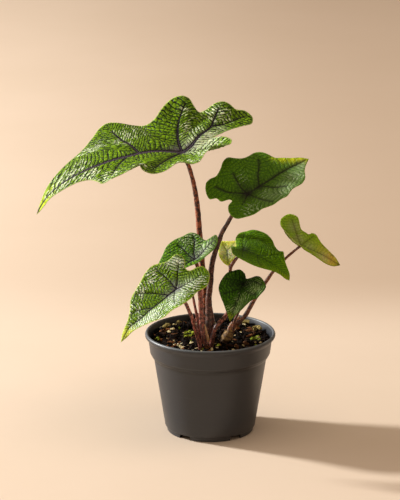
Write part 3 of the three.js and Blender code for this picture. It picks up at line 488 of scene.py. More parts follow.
class Board:
    """Places and links the nodes of one tree."""

    def __init__(self, tree):
        self.tree = tree

    def add(self, kind, inputs=(), **settings):
        node = self.tree.nodes.new(kind)
        for key, value in settings.items():
            setattr(node, key, value)
        for key, value in dict(inputs).items():
            self.feed(node.inputs[key], value)
        return node

    def feed(self, socket, value):
        if isinstance(value, bpy.types.NodeSocket):
            self.tree.links.new(value, socket)
        else:
            socket.default_value = value

    def math(self, operation, first, second=0.0, clamp=False):
        node = self.add("ShaderNodeMath", {0: first, 1: second}, operation=operation, use_clamp=clamp)
        return node.outputs[0]

    def times(self, first, second, clamp=False):
        return self.math("MULTIPLY", first, second, clamp)

    def plus(self, first, second, clamp=False):
        return self.math("ADD", first, second, clamp)

    def minus(self, first, second):
        return self.math("SUBTRACT", first, second)

    def over(self, first, second):
        return self.math("DIVIDE", first, second)

    def most(self, first, second):
        return self.math("MAXIMUM", first, second)

    def vector(self, operation, first, second):
        other = 3 if operation == "SCALE" else 1
        return self.add("ShaderNodeVectorMath", {0: first, other: second}, operation=operation).outputs[0]

    def random(self, kind, low, high, seed):
        first, result = (0, 0) if kind == "FLOAT_VECTOR" else (2, 1)
        node = self.add("FunctionNodeRandomValue", {first: low, first + 1: high, 8: seed}, data_type=kind)
        return node.outputs[result]

    def ramp(self, value, low, high, to_low=0.0, to_high=1.0):
        limits = {"Value": value, "From Min": low, "From Max": high, "To Min": to_low, "To Max": to_high}
        return self.add("ShaderNodeMapRange", limits, interpolation_type="SMOOTHSTEP").outputs[0]

    def blend(self, share, first, second):
        return self.add("ShaderNodeMix", {0: share, 6: first, 7: second}, data_type="RGBA").outputs[2]

    def noise(self, vector, scale, detail=2.0, roughness=0.5, distortion=0.0):
        node = self.add("ShaderNodeTexNoise", {"Vector": vector, "Scale": scale, "Detail": detail,
                                               "Roughness": roughness, "Distortion": distortion})
        return node.outputs["Fac"]

    def measure(self, name):
        return self.add("ShaderNodeAttribute", attribute_name=name).outputs["Fac"]

    def place(self):
        return self.add("ShaderNodeTexCoord").outputs["Object"]

    def plane(self):
        return self.add("ShaderNodeUVMap", uv_map="leaf_plane").outputs[0]

    def stretched(self, vector, scale):
        return self.add("ShaderNodeMapping", {"Vector": vector, "Scale": scale}).outputs[0]

    def apart(self, vector):
        return self.add("ShaderNodeSeparateXYZ", {0: vector}).outputs

    def together(self, x, y, z=0.0):
        return self.add("ShaderNodeCombineXYZ", {0: x, 1: y, 2: z}).outputs[0]

    def group(self, group, inputs):
        return self.add("ShaderNodeGroup", inputs, node_tree=group).outputs

    def mottle(self, vector, cloud_scale, grain_scale, grain_share):
        return self.group(MOTTLE, {"Vector": vector, "Cloud Scale": cloud_scale, "Grain Scale": grain_scale,
                                   "Grain Share": grain_share})

    def cover(self, shader, color, roughness):
        self.feed(shader.inputs["Base Color"], color)
        self.feed(shader.inputs["Roughness"], roughness)

    def bump(self, shader, height, strength, distance):
        node = self.add("ShaderNodeBump", {"Height": height, "Strength": strength, "Distance": distance})
        self.feed(shader.inputs["Normal"], node.outputs[0])


def new_group(name, kind, inputs, outputs):
    """A node group with named sockets; returns its board, its inputs and its output node."""
    tree = bpy.data.node_groups.new(name, kind)
    for direction, sockets in (("INPUT", inputs), ("OUTPUT", outputs)):
        for label, socket_kind, *rest in sockets:
            socket = tree.interface.new_socket(label, in_out=direction, socket_type=socket_kind)
            if rest:
                socket.default_value = rest[0]
    board = Board(tree)
    return board, board.add("NodeGroupInput").outputs, board.add("NodeGroupOutput")


def new_finish(name):
    """A material with a Principled shader; returns it, its board and the shader."""
    material = bpy.data.materials.new(name)
    material.use_nodes = True
    material.node_tree.nodes.clear()
    board = Board(material.node_tree)
    shader = board.add("ShaderNodeBsdfPrincipled")
    output = board.add("ShaderNodeOutputMaterial")
    board.tree.links.new(shader.outputs[0], output.inputs[0])
    return material, board, shader


FLOAT = "NodeSocketFloat"


def make_mottle():
    """Uneven tone: broad clouds with finer grain on them, and the same as a height."""
    board, given, out = new_group(
        "mottle", "ShaderNodeTree",
        [("Vector", "NodeSocketVector"), ("Cloud Scale", FLOAT, 40.0), ("Grain Scale", FLOAT, 900.0),
         ("Grain Share", FLOAT, 0.4)],
        [("Tone", FLOAT), ("Height", FLOAT)])
    cloud = board.noise(given["Vector"], given["Cloud Scale"], 3.0, 0.55)
    grain = board.noise(given["Vector"], given["Grain Scale"], 2.0, 0.6)
    mixed = board.add("ShaderNodeMix", {0: given["Grain Share"], 2: cloud, 3: grain},
                      data_type="FLOAT").outputs[0]
    board.feed(out.inputs["Tone"], board.ramp(mixed, 0.3, 0.7))
    board.feed(out.inputs["Height"], mixed)
    return board.tree


def make_vein_net():
    """The net of a blade: ribs with a painted highlight on their crests, side veins with a painted glint
    beside each, small cells with painted light in their middles.
    """
    board, given, out = new_group(
        "vein_net", "ShaderNodeTree",
        [("Plane", "NodeSocketVector"), ("Rib Gap", FLOAT), ("Rib Distance", FLOAT), ("Side Vein", FLOAT),
         ("Margin Gap", FLOAT), ("Sheen", FLOAT), ("Cell Length", FLOAT, 3.0)],
        [("Rib", FLOAT), ("Crest", FLOAT), ("Halo", FLOAT), ("Side", FLOAT), ("Cell", FLOAT),
         ("Streak", FLOAT), ("Margin", FLOAT), ("Height", FLOAT)])
    wobble = board.noise(given["Plane"], 1.6, 3.0, 0.6)
    shift = board.times(board.minus(wobble, 0.5), 1.4)
    phase = board.plus(given["Side Vein"], shift)
    run = board.math("FRACT", phase)
    side = board.most(board.ramp(run, 0.1, 0.19, 1.0, 0.0), board.ramp(run, 0.83, 0.92))
    cells = board.together(board.times(phase, 1.4), board.over(given["Rib Distance"], given["Cell Length"]),
                           board.times(wobble, 0.6))
    edge = board.add("ShaderNodeTexVoronoi", {"Vector": cells, "Scale": 1.0, "Randomness": 0.8},
                     feature="DISTANCE_TO_EDGE").outputs["Distance"]
    # cells: dark veinlets at their edges, with painted light towards their middles
    cell = board.plus(board.ramp(edge, 0.02, 0.18, 0.0, 0.66), board.ramp(edge, 0.18, 0.42, 0.0, 0.34))
    more = board.times(given["Sheen"], 0.34)
    patches = board.together(board.times(phase, 1.3), board.over(given["Rib Distance"], 6.0))
    patch = board.plus(board.noise(patches, 1.0, 2.0), more)
    # painted highlights: a light line beside each side vein and bright flecks in some cells, where the sheen
    # allows
    line = board.times(board.ramp(run, 0.18, 0.25), board.ramp(run, 0.42, 0.54, 1.0, 0.0))
    line = board.times(line, board.times(board.ramp(patch, 0.62, 0.74), board.ramp(edge, 0.02, 0.1)))
    glint = board.plus(board.noise(cells, 0.9, 1.0), more)
    glint = board.times(board.ramp(glint, 0.76, 0.86), board.ramp(edge, 0.1, 0.2))
    glint_streak = board.times(board.most(line, glint), board.ramp(given["Sheen"], 0.0, 0.4))
    rib = board.ramp(given["Rib Gap"], -0.2, 0.5, 1.0, 0.0)
    # painted highlight along the crest of each rib
    crest_highlight = board.ramp(given["Rib Gap"], -1.5, -0.7, 1.0, 0.0)
    halo = board.ramp(given["Rib Gap"], 0.0, 3.0, 1.0, 0.0)
    margin = board.ramp(given["Margin Gap"], 0.3, 1.1, 1.0, 0.0)
    height = board.minus(cell, board.times(side, 0.8))
    for key, value in (("Rib", rib), ("Crest", crest_highlight), ("Halo", halo), ("Side", side), ("Cell", cell),
                       ("Streak", glint_streak), ("Margin", margin), ("Height", height)):
        board.feed(out.inputs[key], value)
    return board.tree


MOTTLE = make_mottle()
VEIN_NET = make_vein_net()


# ---------------------------------------------------------------- finishes

def blade_finish(name):
    """Leaf skin: green cells in a dark net, dark ribs with a painted highlight, painted silvery glints and
    reflection, some painted shade, a pale margin and a lime tip.
    """
    look = BLADE_FINISH[name]
    material, board, shader = new_finish(f"blade_{name}")
    plane = board.plane()
    underside = board.measure("underside")
    net = board.group(VEIN_NET, {
        "Plane": plane, "Rib Gap": board.measure("rib_gap"), "Rib Distance": board.measure("rib_distance"),
        "Side Vein": board.measure("side_vein"), "Margin Gap": board.measure("margin_gap"),
        "Sheen": board.measure("sheen"), "Cell Length": look.get("cell", 3.0)})
    tone = board.mottle(plane, 0.8, 7.0, 0.35)
    deep = board.minus(1.0, board.times(net["Cell"], look["net"]))
    deep = board.most(board.times(deep, 0.92), board.times(tone["Tone"], 0.45))
    green = board.blend(deep, tint(look["green"]), tint(look["shade"]))
    green = board.blend(board.times(board.measure("lime"), 0.9), green, tint(look["tip"]))
    # painted reflection: smooth silvery patches where the glare spots lie
    green = board.blend(board.measure("glare"), green, tint(look["highlight"]))
    # painted glints: light lines and flecks between the veins
    green = board.blend(board.times(net["Streak"], look["glint_streak"], clamp=True), green, tint(look["highlight"]))
    lines = board.times(net["Side"], board.ramp(board.measure("lime"), 0.2, 0.9, look["net"] * 0.95, 0.1))
    green = board.blend(lines, green, tint(look["line"]))
    green = board.blend(board.times(net["Margin"], 0.75), green, tint(look["margin"]))
    # dark purple near the joins, and painted shade on some lobes of the large front leaf
    dark = board.most(board.times(net["Halo"], look["halo"]), board.measure("dusk"))
    green = board.blend(dark, green, tint(look["vein"]))
    green = board.blend(board.measure("haze"), green, tint(LILAC_HAZE))
    # painted highlight on the crest of each rib
    ribs = board.blend(board.times(net["Crest"], 0.5), tint(look["vein"]), tint(RIB_HIGHLIGHT))
    upper = board.blend(board.times(net["Rib"], look["rib"]), green, ribs)
    pale = board.blend(board.times(deep, 0.5), tint(look["under"]), tint(look["shade"]))
    lower = board.blend(board.times(net["Rib"], 0.75), pale, tint(RIB_BELOW))
    rough = board.plus(look["gloss"], board.times(tone["Tone"], 0.1))
    board.cover(shader, board.blend(underside, upper, lower), board.plus(rough, board.times(underside, 0.2)))
    board.bump(shader, net["Height"], 0.7, 0.0005)
    shader.inputs["Specular IOR Level"].default_value = 0.12
    shader.inputs["Subsurface Weight"].default_value = look["glow"]
    shader.inputs["Subsurface Radius"].default_value = (0.003, 0.004, 0.001)
    shader.inputs["Subsurface Scale"].default_value = 0.6
    return material


def stem_finish(name):
    """Leaf-stem skin: reddish or mauve brown, lighter mottling, dark broken bands around it."""
    look = STEM_FINISH[name]
    material, board, shader = new_finish(name)
    along = board.measure("stem_along")
    turn = board.times(board.measure("stem_round"), 2 * math.pi)
    wrap = board.together(board.times(board.math("COSINE", turn), 0.8),
                          board.times(board.math("SINE", turn), 0.8), board.times(along, 0.34))
    bands = board.noise(wrap, 1.0, 3.0, 0.6, 0.4)
    fine = board.noise(wrap, 3.2, 2.0, 0.6)
    dark = board.ramp(bands, look["bands"] - 0.07, look["bands"] - 0.01, 1.0, 0.0)
    light = board.ramp(fine, 0.5, 0.6)
    color = board.blend(board.times(light, 0.6), tint(look["base"]), tint(look["light"]))
    low = board.times(board.ramp(along, 5.0, 45.0, 0.8, 0.0), board.ramp(bands, 0.46, 0.58, 1.0, 0.15))
    dark = board.most(board.times(dark, 0.9), low)
    rough = board.ramp(fine, 0.3, 0.7, look["gloss"], look["gloss"] + 0.16)
    board.cover(shader, board.blend(dark, color, tint(look["dark"])), rough)
    board.bump(shader, fine, 0.35, 0.0003)
    return material


def earth_finish(name, dark, light, own_tone, grain=900.0, depth=0.0008, clouds=60.0):
    """A rough natural skin, such as peat, bark, moss or pumice, from dark to light by its mottling.

    own_tone is the share of the tone that differs from one bit to the next."""
    material, board, shader = new_finish(name)
    place = board.place()
    tone = board.mottle(place, clouds, grain, 0.5)
    shade = board.plus(board.times(tone["Tone"], 1 - own_tone),
                       board.times(board.measure("bit_tone"), own_tone), clamp=True)
    board.cover(shader, board.blend(shade, tint(dark), tint(light)),
                board.ramp(tone["Tone"], 0.0, 1.0, 0.75, 0.9))
    board.bump(shader, tone["Height"], 0.7, depth)
    shader.inputs["Specular IOR Level"].default_value = 0.08
    return material


def pot_finish():
    """Dark grey moulded plastic: satin, dusty low down, faint scuffs, a painted highlight on the rim and
    painted shade in the crease under the collar.
    """
    material, board, shader = new_finish("nursery_pot_plastic")
    place = board.place()
    tone = board.mottle(place, 22.0, 1500.0, 0.3)
    scuffs = board.noise(board.stretched(place, (12.0, 12.0, 900.0)), 1.0, 3.0, 0.6)
    color = board.blend(tone["Tone"], tint("#22252b"), tint("#2a2d33"))
    color = board.blend(board.ramp(scuffs, 0.62, 0.8, 0.0, 0.35), color, tint("#3c4049"))
    low = board.apart(place)[2]
    dust = board.times(board.ramp(low, 0.0, 0.02, 0.5, 0.0), tone["Tone"])
    color = board.blend(dust, color, tint("#4d4a48"))
    # painted highlight along the top of the rim
    crest_highlight = board.times(board.ramp(low, 0.0917, 0.0931), 0.75)
    # painted shade in the crease under the collar
    crease_shade = board.times(board.ramp(low, 0.0668, 0.069), board.ramp(low, 0.0725, 0.0745, 0.6, 0.0))
    color = board.blend(crease_shade, color, tint("#0a0b0d"))
    board.cover(shader, board.blend(crest_highlight, color, tint("#6c7176")),
                board.ramp(tone["Tone"], 0.0, 1.0, 0.38, 0.5))
    shader.inputs["Specular IOR Level"].default_value = 0.55
    board.bump(shader, board.plus(tone["Height"], board.times(scuffs, 0.4)), 0.25, 0.0002)
    return material


def corm_finish():
    """Corm skin: tan with darker rings, and red-brown towards the soil."""
    material, board, shader = new_finish("corm_skin")
    place = board.place()
    tone = board.mottle(place, 420.0, 1600.0, 0.45)
    rings = board.measure("corm_rings")
    color = board.blend(tone["Tone"], tint("#5f3c1c"), tint("#c09a60"))
    color = board.blend(board.ramp(rings, 0.3, 1.0, 0.0, 0.7), color, tint("#4d3723"))
    height = board.plus(board.apart(place)[2], board.times(tone["Tone"], 0.002))
    color = board.blend(board.ramp(height, 0.09, 0.0935, 0.85, 0.0), color, tint("#3a1c0e"))
    board.cover(shader, color, board.ramp(tone["Tone"], 0.0, 1.0, 0.65, 0.85))
    board.bump(shader, tone["Height"], 0.8, 0.0008)
    return material


def sheath_finish(name, light, dark):
    """Dry sheath: thin and papery, with fibres along it."""
    material, board, shader = new_finish(name)
    plane = board.plane()
    fibres = board.noise(board.stretched(plane, (26.0, 2.0, 1.0)), 1.0, 3.0, 0.6)
    tone = board.mottle(plane, 3.0, 24.0, 0.3)
    color = board.blend(board.ramp(fibres, 0.35, 0.65), tint(dark), tint(light))
    color = board.blend(board.times(tone["Tone"], 0.3), color, tint(dark))
    board.cover(shader, color, board.ramp(fibres, 0.3, 0.7, 0.6, 0.8))
    shader.inputs["Subsurface Weight"].default_value = 0.5
    shader.inputs["Subsurface Radius"].default_value = (0.004, 0.002, 0.001)
    shader.inputs["Subsurface Scale"].default_value = 1.0
    board.bump(shader, fibres, 0.5, 0.0003)
    return material


def floor_finish():
    """A plain pale floor, with painted shade making it a little darker far behind on the right."""
    material, board, shader = new_finish("pale_floor")
    place = board.place()
    tone = board.mottle(place, 3.0, 60.0, 0.1)
    sides = board.apart(place)
    # painted shade far behind on the right
    far = board.times(board.ramp(sides[0], -0.35, 0.25, 0.15, 0.62), board.ramp(sides[1], 0.25, 0.5))
    color = board.blend(tone["Tone"], tint("#e0ccb6"), tint("#e4d0bb"))
    board.feed(shader.inputs["Base Color"], board.blend(far, color, tint("#b0967c")))
    shader.inputs["Roughness"].default_value = 0.8
    return material


# ---------------------------------------------------------------- blades

def blade_axes(leaf):
    """A blade's own directions: along it, across to its left, and out of its upper side."""
    heading, pitch, roll = (math.radians(leaf[key]) for key in ("heading", "pitch", "roll"))
    along = np.array([math.cos(heading) * math.cos(pitch), math.sin(heading) * math.cos(pitch),
                      -math.sin(pitch)])
    up = np.array([math.cos(heading) * math.sin(pitch), math.sin(heading) * math.sin(pitch), math.cos(pitch)])
    out = up * math.cos(roll) + np.cross(up, along) * math.sin(roll)
    return along, np.cross(out, along), out


def rib_fields(leaf, flat, spacing):
    """For each flat point: distance to the nearest rib, gap to its edge, and the side veins' count from it.

    Each rib's line runs on past its end for the side veins, so that they don't circle round it."""
    best = np.full(len(flat), 1e9)
    gap = np.full(len(flat), 1e9)
    phase = np.zeros(len(flat))
    for number, (width, *points) in enumerate(leaf["ribs"]):
        line = curve_through(points, RIB_GRID)
        total = np.linalg.norm(np.diff(line, axis=0), axis=1).sum()
        line = np.vstack([line, line[-1] + RIB_RUN_ON * unit(line[-1] - line[-3])])
        step = np.diff(line, axis=0)
        length = np.linalg.norm(step, axis=1)
        start = np.concatenate([[0], np.cumsum(length)[:-1]])
        offset = flat[:, None, :] - line[None, :-1, :]
        share = np.clip((offset * step[None]).sum(2) / (length ** 2)[None], 0, 1)
        away = np.linalg.norm(offset - share[..., None] * step[None], axis=2)
        nearest = away.argmin(1)
        row = np.arange(len(flat))
        distance = away[row, nearest]
        run = start[nearest] + share[row, nearest] * length[nearest]
        half = np.where(run < total, width / 2 * (1 - RIB_TAPER * run / total), -2)
        gap = np.minimum(gap, distance - half)
        side = np.sign(offset[row, nearest, 0] * step[nearest, 1]
                       - offset[row, nearest, 1] * step[nearest, 0])
        weighted = distance * (1.0 if number == 0 else 1.06)
        closer = weighted < best
        best = np.where(closer, weighted, best)
        right, left = leaf.get("leans", {}).get(number, (USUAL_LEAN, USUAL_LEAN))
        lean = np.where(side > 0, right, left)
        reached = run - lean * distance - SIDE_VEIN_BEND * distance ** 2
        count = reached / spacing + 0.23 * side + 0.37 * number
        phase = np.where(closer, count, phase)
    return best, gap, phase


def blade_piece(leaf):
    """A blade: a fine sheet inside its smooth outline, lifted, quilted between its veins, with two faces."""
    look = BLADE_FINISH[leaf["name"]]
    outline = curve_through(leaf["edge"] + [leaf["edge"][0]], BLADE_GRID)[:-1]
    turn = np.unwrap(np.arctan2(outline[:, 1], outline[:, 0]))
    if turn[-1] < turn[0]:
        turn, outline = turn[::-1], outline[::-1]
    reach = np.hypot(outline[:, 0], outline[:, 1])
    sweep = np.maximum.accumulate(turn)
    ring_turn = np.append(sweep, sweep[0] + 2 * math.pi)

    def at_angle(points, values):
        """The outline's own values, read at the angle of each flat point."""
        angle = np.arctan2(points[:, 1], points[:, 0])
        angle = sweep[0] + np.mod(angle - sweep[0], 2 * math.pi)
        return np.interp(angle, ring_turn, np.append(values, values[0]))

    low, high = outline[:, :2].min(0), outline[:, :2].max(0)
    columns = np.arange(low[0], high[0], BLADE_GRID)
    rows = np.arange(low[1], high[1], BLADE_GRID * 0.866)
    inner = np.concatenate([np.stack([columns + BLADE_GRID / 2 * (i % 2), np.full(len(columns), y)], 1)
                            for i, y in enumerate(rows)])
    step = np.roll(outline[:, :2], -1, 0) - outline[:, :2]
    margin = margin_distance(inner, outline[:, :2], step)
    keep = (np.hypot(inner[:, 0], inner[:, 1]) < at_angle(inner, reach)) & (margin > BLADE_GRID * 0.45)
    inner = inner[keep]
    flat = np.vstack([outline[:, :2], inner])
    count = len(outline)
    ring = [(i, (i + 1) % count) for i in range(count)]
    flat_list, _, faces, *_ = delaunay_2d_cdt([Vector(p) for p in flat], ring, [], 0, 1e-6, False)
    flat = np.array([tuple(p) for p in flat_list])
    faces = np.array(faces)
    centre = flat[faces].mean(1)
    faces = faces[np.hypot(centre[:, 0], centre[:, 1]) < at_angle(centre, reach)]

    radius = np.maximum(np.hypot(flat[:, 0], flat[:, 1]), 1e-6)
    edge_reach, lift = at_angle(flat, reach), at_angle(flat, outline[:, 2])
    share = np.clip(radius / edge_reach, 0, 1)
    front, back, left, right = leaf["slopes"]
    cosine, sine = flat[:, 0] / radius, flat[:, 1] / radius
    slope = (np.where(flat[:, 0] > 0, front, back) * cosine ** 2
             + np.where(flat[:, 1] > 0, left, right) * abs(sine))
    height = slope * edge_reach * share * (1 - share) + lift * share ** leaf["power"]
    height[:count] = outline[:, 2]
    height = eased(height, faces, fixed=count, rounds=BLADE_EASING)

    best, gap, phase = rib_fields(leaf, flat, look["spacing"])
    margin = margin_distance(flat, outline[:, :2], step)
    margin[:count] = 0
    along, across, out = blade_axes(leaf)
    join = np.array(leaf["petiole"][-1][:3])
    middle = join + flat[:, :1] * along + flat[:, 1:] * across + height[:, None] * out
    normal = sheet_normals(middle, faces)
    if (normal @ out).mean() < 0:
        faces = faces[:, ::-1]
        normal = -normal

    open_field = smoothstep(0.2, 3.0, gap) * smoothstep(0.3, 3.5, margin)
    swell = abs(np.sin(math.pi * phase)) ** 0.8 - 0.4
    quilt = swell * QUILT_SHARE * look["spacing"] * look["net"] * open_field
    groove = -RIB_GROOVE * (1 - smoothstep(-0.6, 1.3, gap)) * smoothstep(0.2, 2.5, margin)
    middle = middle + normal * (quilt + groove)[:, None]
    normal = sheet_normals(middle, faces)
    half = EDGE_HALF_BLADE + (HALF_BLADE - EDGE_HALF_BLADE) * smoothstep(0, 1.6, margin)
    proud = RIB_PROUD * (1 - smoothstep(-0.5, 0.8, gap)) * smoothstep(0.5, 3, margin)
    upper = middle + normal * half[:, None]
    lower = middle - normal * (half + proud)[:, None]

    total = len(middle)
    outward = np.sign(np.cross(middle[1] - middle[0], normal[0]) @ (middle[0] - middle[count:].mean(0)))
    rim = [(a, b, b + total, a + total) if outward < 0 else (b, a, a + total, b + total) for a, b in ring]
    piece = shell_from(f"leaf_{leaf['name']}", upper, lower, faces, rim)

    measures = {name: spotted(leaf.get(name, []), flat)
                for name in ("sheen", "glare", "lime", "dusk", "haze")}
    tip_share = flat[:, 0] / leaf["edge"][0][0]
    measures["lime"] = np.maximum(smoothstep(0.86, 0.97, tip_share), measures["lime"])
    measures |= {"rib_gap": gap, "rib_distance": best, "side_vein": phase, "margin_gap": margin}
    for name, values in measures.items():
        add_measure(piece, name, np.tile(values, 2))
    add_measure(piece, "underside", np.repeat([0.0, 1.0], total))
    add_plane_map(piece, np.tile(flat[:, 0], 2) / 10, np.tile(flat[:, 1], 2) / 10)
    return dress(piece, blade_finish(leaf["name"]), f"blade_{leaf['name']}", f"blade_{leaf['name']}")


def spotted(spots, flat):
    """Strength at each flat point from soft round spots; spots below 0 take away from the others."""
    total, less = np.zeros(len(flat)), np.zeros(len(flat))
    for x, y, spread, strength in spots:
        share = abs(strength) * np.exp(-((flat[:, 0] - x) ** 2 + (flat[:, 1] - y) ** 2) / spread ** 2)
        if strength > 0:
            total = np.maximum(total, share)
        else:
            less = np.maximum(less, share)
    return total * (1 - less)


def margin_distance(points, corners, step):
    """Distance of each flat point from the outline."""
    length = np.maximum((step ** 2).sum(1), 1e-12)
    result = np.empty(len(points))
    for start in range(0, len(points), 2000):
        part = points[start:start + 2000]
        offset = part[:, None, :] - corners[None]
        share = np.clip((offset * step[None]).sum(2) / length[None], 0, 1)
        result[start:start + 2000] = np.linalg.norm(offset - share[..., None] * step[None], axis=2).min(1)
    return result


def eased(values, faces, fixed, rounds):
    """Values averaged with their neighbours a few times, with the first ones held."""
    ends = np.concatenate([faces[:, [0, 1]], faces[:, [1, 2]], faces[:, [2, 0]]])
    weight = np.bincount(ends.ravel(), minlength=len(values)).astype(float)
    for _ in range(rounds):
        total = (np.bincount(ends[:, 0], values[ends[:, 1]], len(values))
                 + np.bincount(ends[:, 1], values[ends[:, 0]], len(values)))
        mean = total / np.maximum(weight, 1)
        values = np.concatenate([values[:fixed], values[fixed:] * 0.4 + mean[fixed:] * 0.6])
    return values


def sheet_normals(places, faces):
    """The outward direction of a sheet at each of its points."""
    corner = places[faces]
    normal = np.cross(corner[:, 1] - corner[:, 0], corner[:, 2] - corner[:, 0])
    result = np.zeros_like(places)
    for k in range(3):
        for axis in range(3):
            result[:, axis] += np.bincount(faces[:, k], normal[:, axis], len(places))
    return result / np.maximum(np.linalg.norm(result, axis=1), 1e-12)[:, None]


def add_plane_map(piece, across, along):
    """Stores the flat place of each point as the piece's own UV map."""
    layer = piece.data.uv_layers.new(name="leaf_plane")
    corner = np.empty(len(piece.data.loops), int)
    piece.data.loops.foreach_get("vertex_index", corner)
    layer.data.foreach_set("uv", np.stack([across[corner], along[corner]], 1).astype(np.float32).ravel())


# ---------------------------------------------------------------- leaf stems, by Geometry Nodes

def make_stem_tree():
    """Sweeps a round section along a line of points, by each point's own radius."""
    board, given, out = new_group(
        "leaf_stem", "GeometryNodeTree",
        [("Line", "NodeSocketGeometry"), ("Sides", "NodeSocketInt", STEM_SIDES),
         ("Skin", "NodeSocketMaterial")],
        [("Stem", "NodeSocketGeometry")])
    line = board.add("GeometryNodeMeshToCurve", {"Mesh": given["Line"]}).outputs[0]
    radius = board.add("GeometryNodeInputNamedAttribute", {"Name": "stem_radius"}).outputs[0]
    section = board.add("GeometryNodeCurvePrimitiveCircle",
                        {"Resolution": given["Sides"], "Radius": 1.0}).outputs[0]
    share = board.add("GeometryNodeSplineParameter").outputs["Factor"]
    section = board.add("GeometryNodeStoreNamedAttribute",
                        {"Geometry": section, "Name": "stem_round", "Value": share}).outputs[0]
    swept = board.add("GeometryNodeCurveToMesh", {"Curve": line, "Profile Curve": section, "Scale": radius,
                                                  "Fill Caps": True}).outputs[0]
    smooth = board.add("GeometryNodeSetShadeSmooth", {"Geometry": swept}).outputs[0]
    real = board.add("GeometryNodeRealizeInstances", {"Geometry": smooth}).outputs[0]
    done = board.add("GeometryNodeSetMaterial", {"Geometry": real, "Material": given["Skin"]}).outputs[0]
    board.feed(out.inputs["Stem"], done)
    return board.tree


def grown(name, start, tree, values):
    """Runs a Geometry Nodes tree on a starting piece and keeps the result as a plain mesh."""
    modifier = start.modifiers.new(tree.name, "NODES")
    modifier.node_group = tree
    sockets = {item.name: item.identifier for item in tree.interface.items_tree if item.in_out == "INPUT"}
    for key, value in values.items():
        modifier[sockets[key]] = value
    bpy.context.view_layer.update()
    graph = bpy.context.evaluated_depsgraph_get()
    mesh = bpy.data.meshes.new_from_object(start.evaluated_get(graph), preserve_all_data_layers=True,
                                           depsgraph=graph)
    start.modifiers.remove(modifier)
    bpy.data.objects.remove(start)
    mesh.name = name
    return new_object(name, mesh)


def stem_piece(leaf, tree, skins):
    """A leaf stem, swept along its petiole's points, a little uneven and swollen where it meets its blade."""
    points = np.array(leaf["petiole"], float)
    out = blade_axes(leaf)[2]
    path = curve_through(points[:, :3], STEM_GRID)
    places = np.linspace(0, len(points) - 1, len(path))
    run = np.concatenate([[0], np.cumsum(np.linalg.norm(np.diff(points[:, :3], axis=0), axis=1))])
    far = np.concatenate([[0], np.cumsum(np.linalg.norm(np.diff(path, axis=0), axis=1))])
    radius = np.interp(far / far[-1] * run[-1], run, points[:, 3])
    radius = radius * (1 + STEM_WAVER * np.sin(far * 0.55 + places))
    radius = radius * (1 + STEM_END_SWELL * smoothstep(far[-1] - STEM_END, far[-1], far))
    path[-1] = path[-1] - out * STEM_END_DROP
    mesh = bpy.data.meshes.new("stem_line")
    mesh.from_pydata((path * MM).tolist(), [(i, i + 1) for i in range(len(path) - 1)], [])
    line = new_object("stem_line", mesh)
    add_measure(line, "stem_radius", radius * MM)
    add_measure(line, "stem_along", far)
    slot = STEM_SLOTS[leaf["name"]]
    piece = grown(f"stem_{leaf['name']}", line, tree, {"Sides": STEM_SIDES, "Skin": skins[slot]})
    tuck_under(piece, points[-1, :3], out)
    return dress(piece, None, slot, f"petiole_{leaf['name']}")


def tuck_under(piece, join, out):
    """Flattens the end of a stem so that it stays under the upper side of its blade."""
    co = np.empty(len(piece.data.vertices) * 3)
    piece.data.vertices.foreach_get("co", co)
    co = co.reshape(-1, 3)
    offset = co / MM - join
    near = np.linalg.norm(offset, axis=1) < TUCK_REACH
    proud = np.where(near, np.maximum(offset @ out + TUCK_DEPTH, 0), 0)
    piece.data.vertices.foreach_set("co", (co - proud[:, None] * out * MM).ravel())
    piece.data.update()


# ---------------------------------------------------------------- pot, soil, corm and sheaths

def turned(profile, steps, shape):
    """Places and faces of a profile of [radius, height] points turned about Z, each point moved by shape."""
    places, faces, rows = [], [], []
    for radius, height in profile:
        if radius < 1e-6:
            rows.append([len(places)])
            places.append((0, 0, height))
            continue
        row = []
        for i in range(steps):
            angle = 2 * math.pi * i / steps
            r, z = shape(angle, radius, height)
            row.append(len(places))
            places.append((r * math.cos(angle), r * math.sin(angle), z))
        rows.append(row)
    for low, high in zip(rows, rows[1:]):
        for i in range(steps):
            j = (i + 1) % steps
            if len(low) == 1:
                faces.append((low[0], high[j], high[i]))
            elif len(high) == 1:
                faces.append((low[i], low[j], high[0]))
            else:
                faces.append((low[i], low[j], high[j], high[i]))
    return np.array(places), faces


def rounded(profile, radius=0.6, steps=3):
    """A profile with its corners eased by small arcs."""
    result = [profile[0]]
    for before, here, after in zip(profile, profile[1:], profile[2:]):
        before, here, after = (np.array(p, float) for p in (before, here, after))
        cut = min(radius, np.linalg.norm(here - before) * 0.4, np.linalg.norm(after - here) * 0.4)
        start, end = here + unit(before - here) * cut, here + unit(after - here) * cut
        for k in range(steps + 1):
            t = k / steps
            result.append(tuple((1 - t) ** 2 * start + 2 * t * (1 - t) * here + t * t * end))
    result.append(profile[-1])
    return result


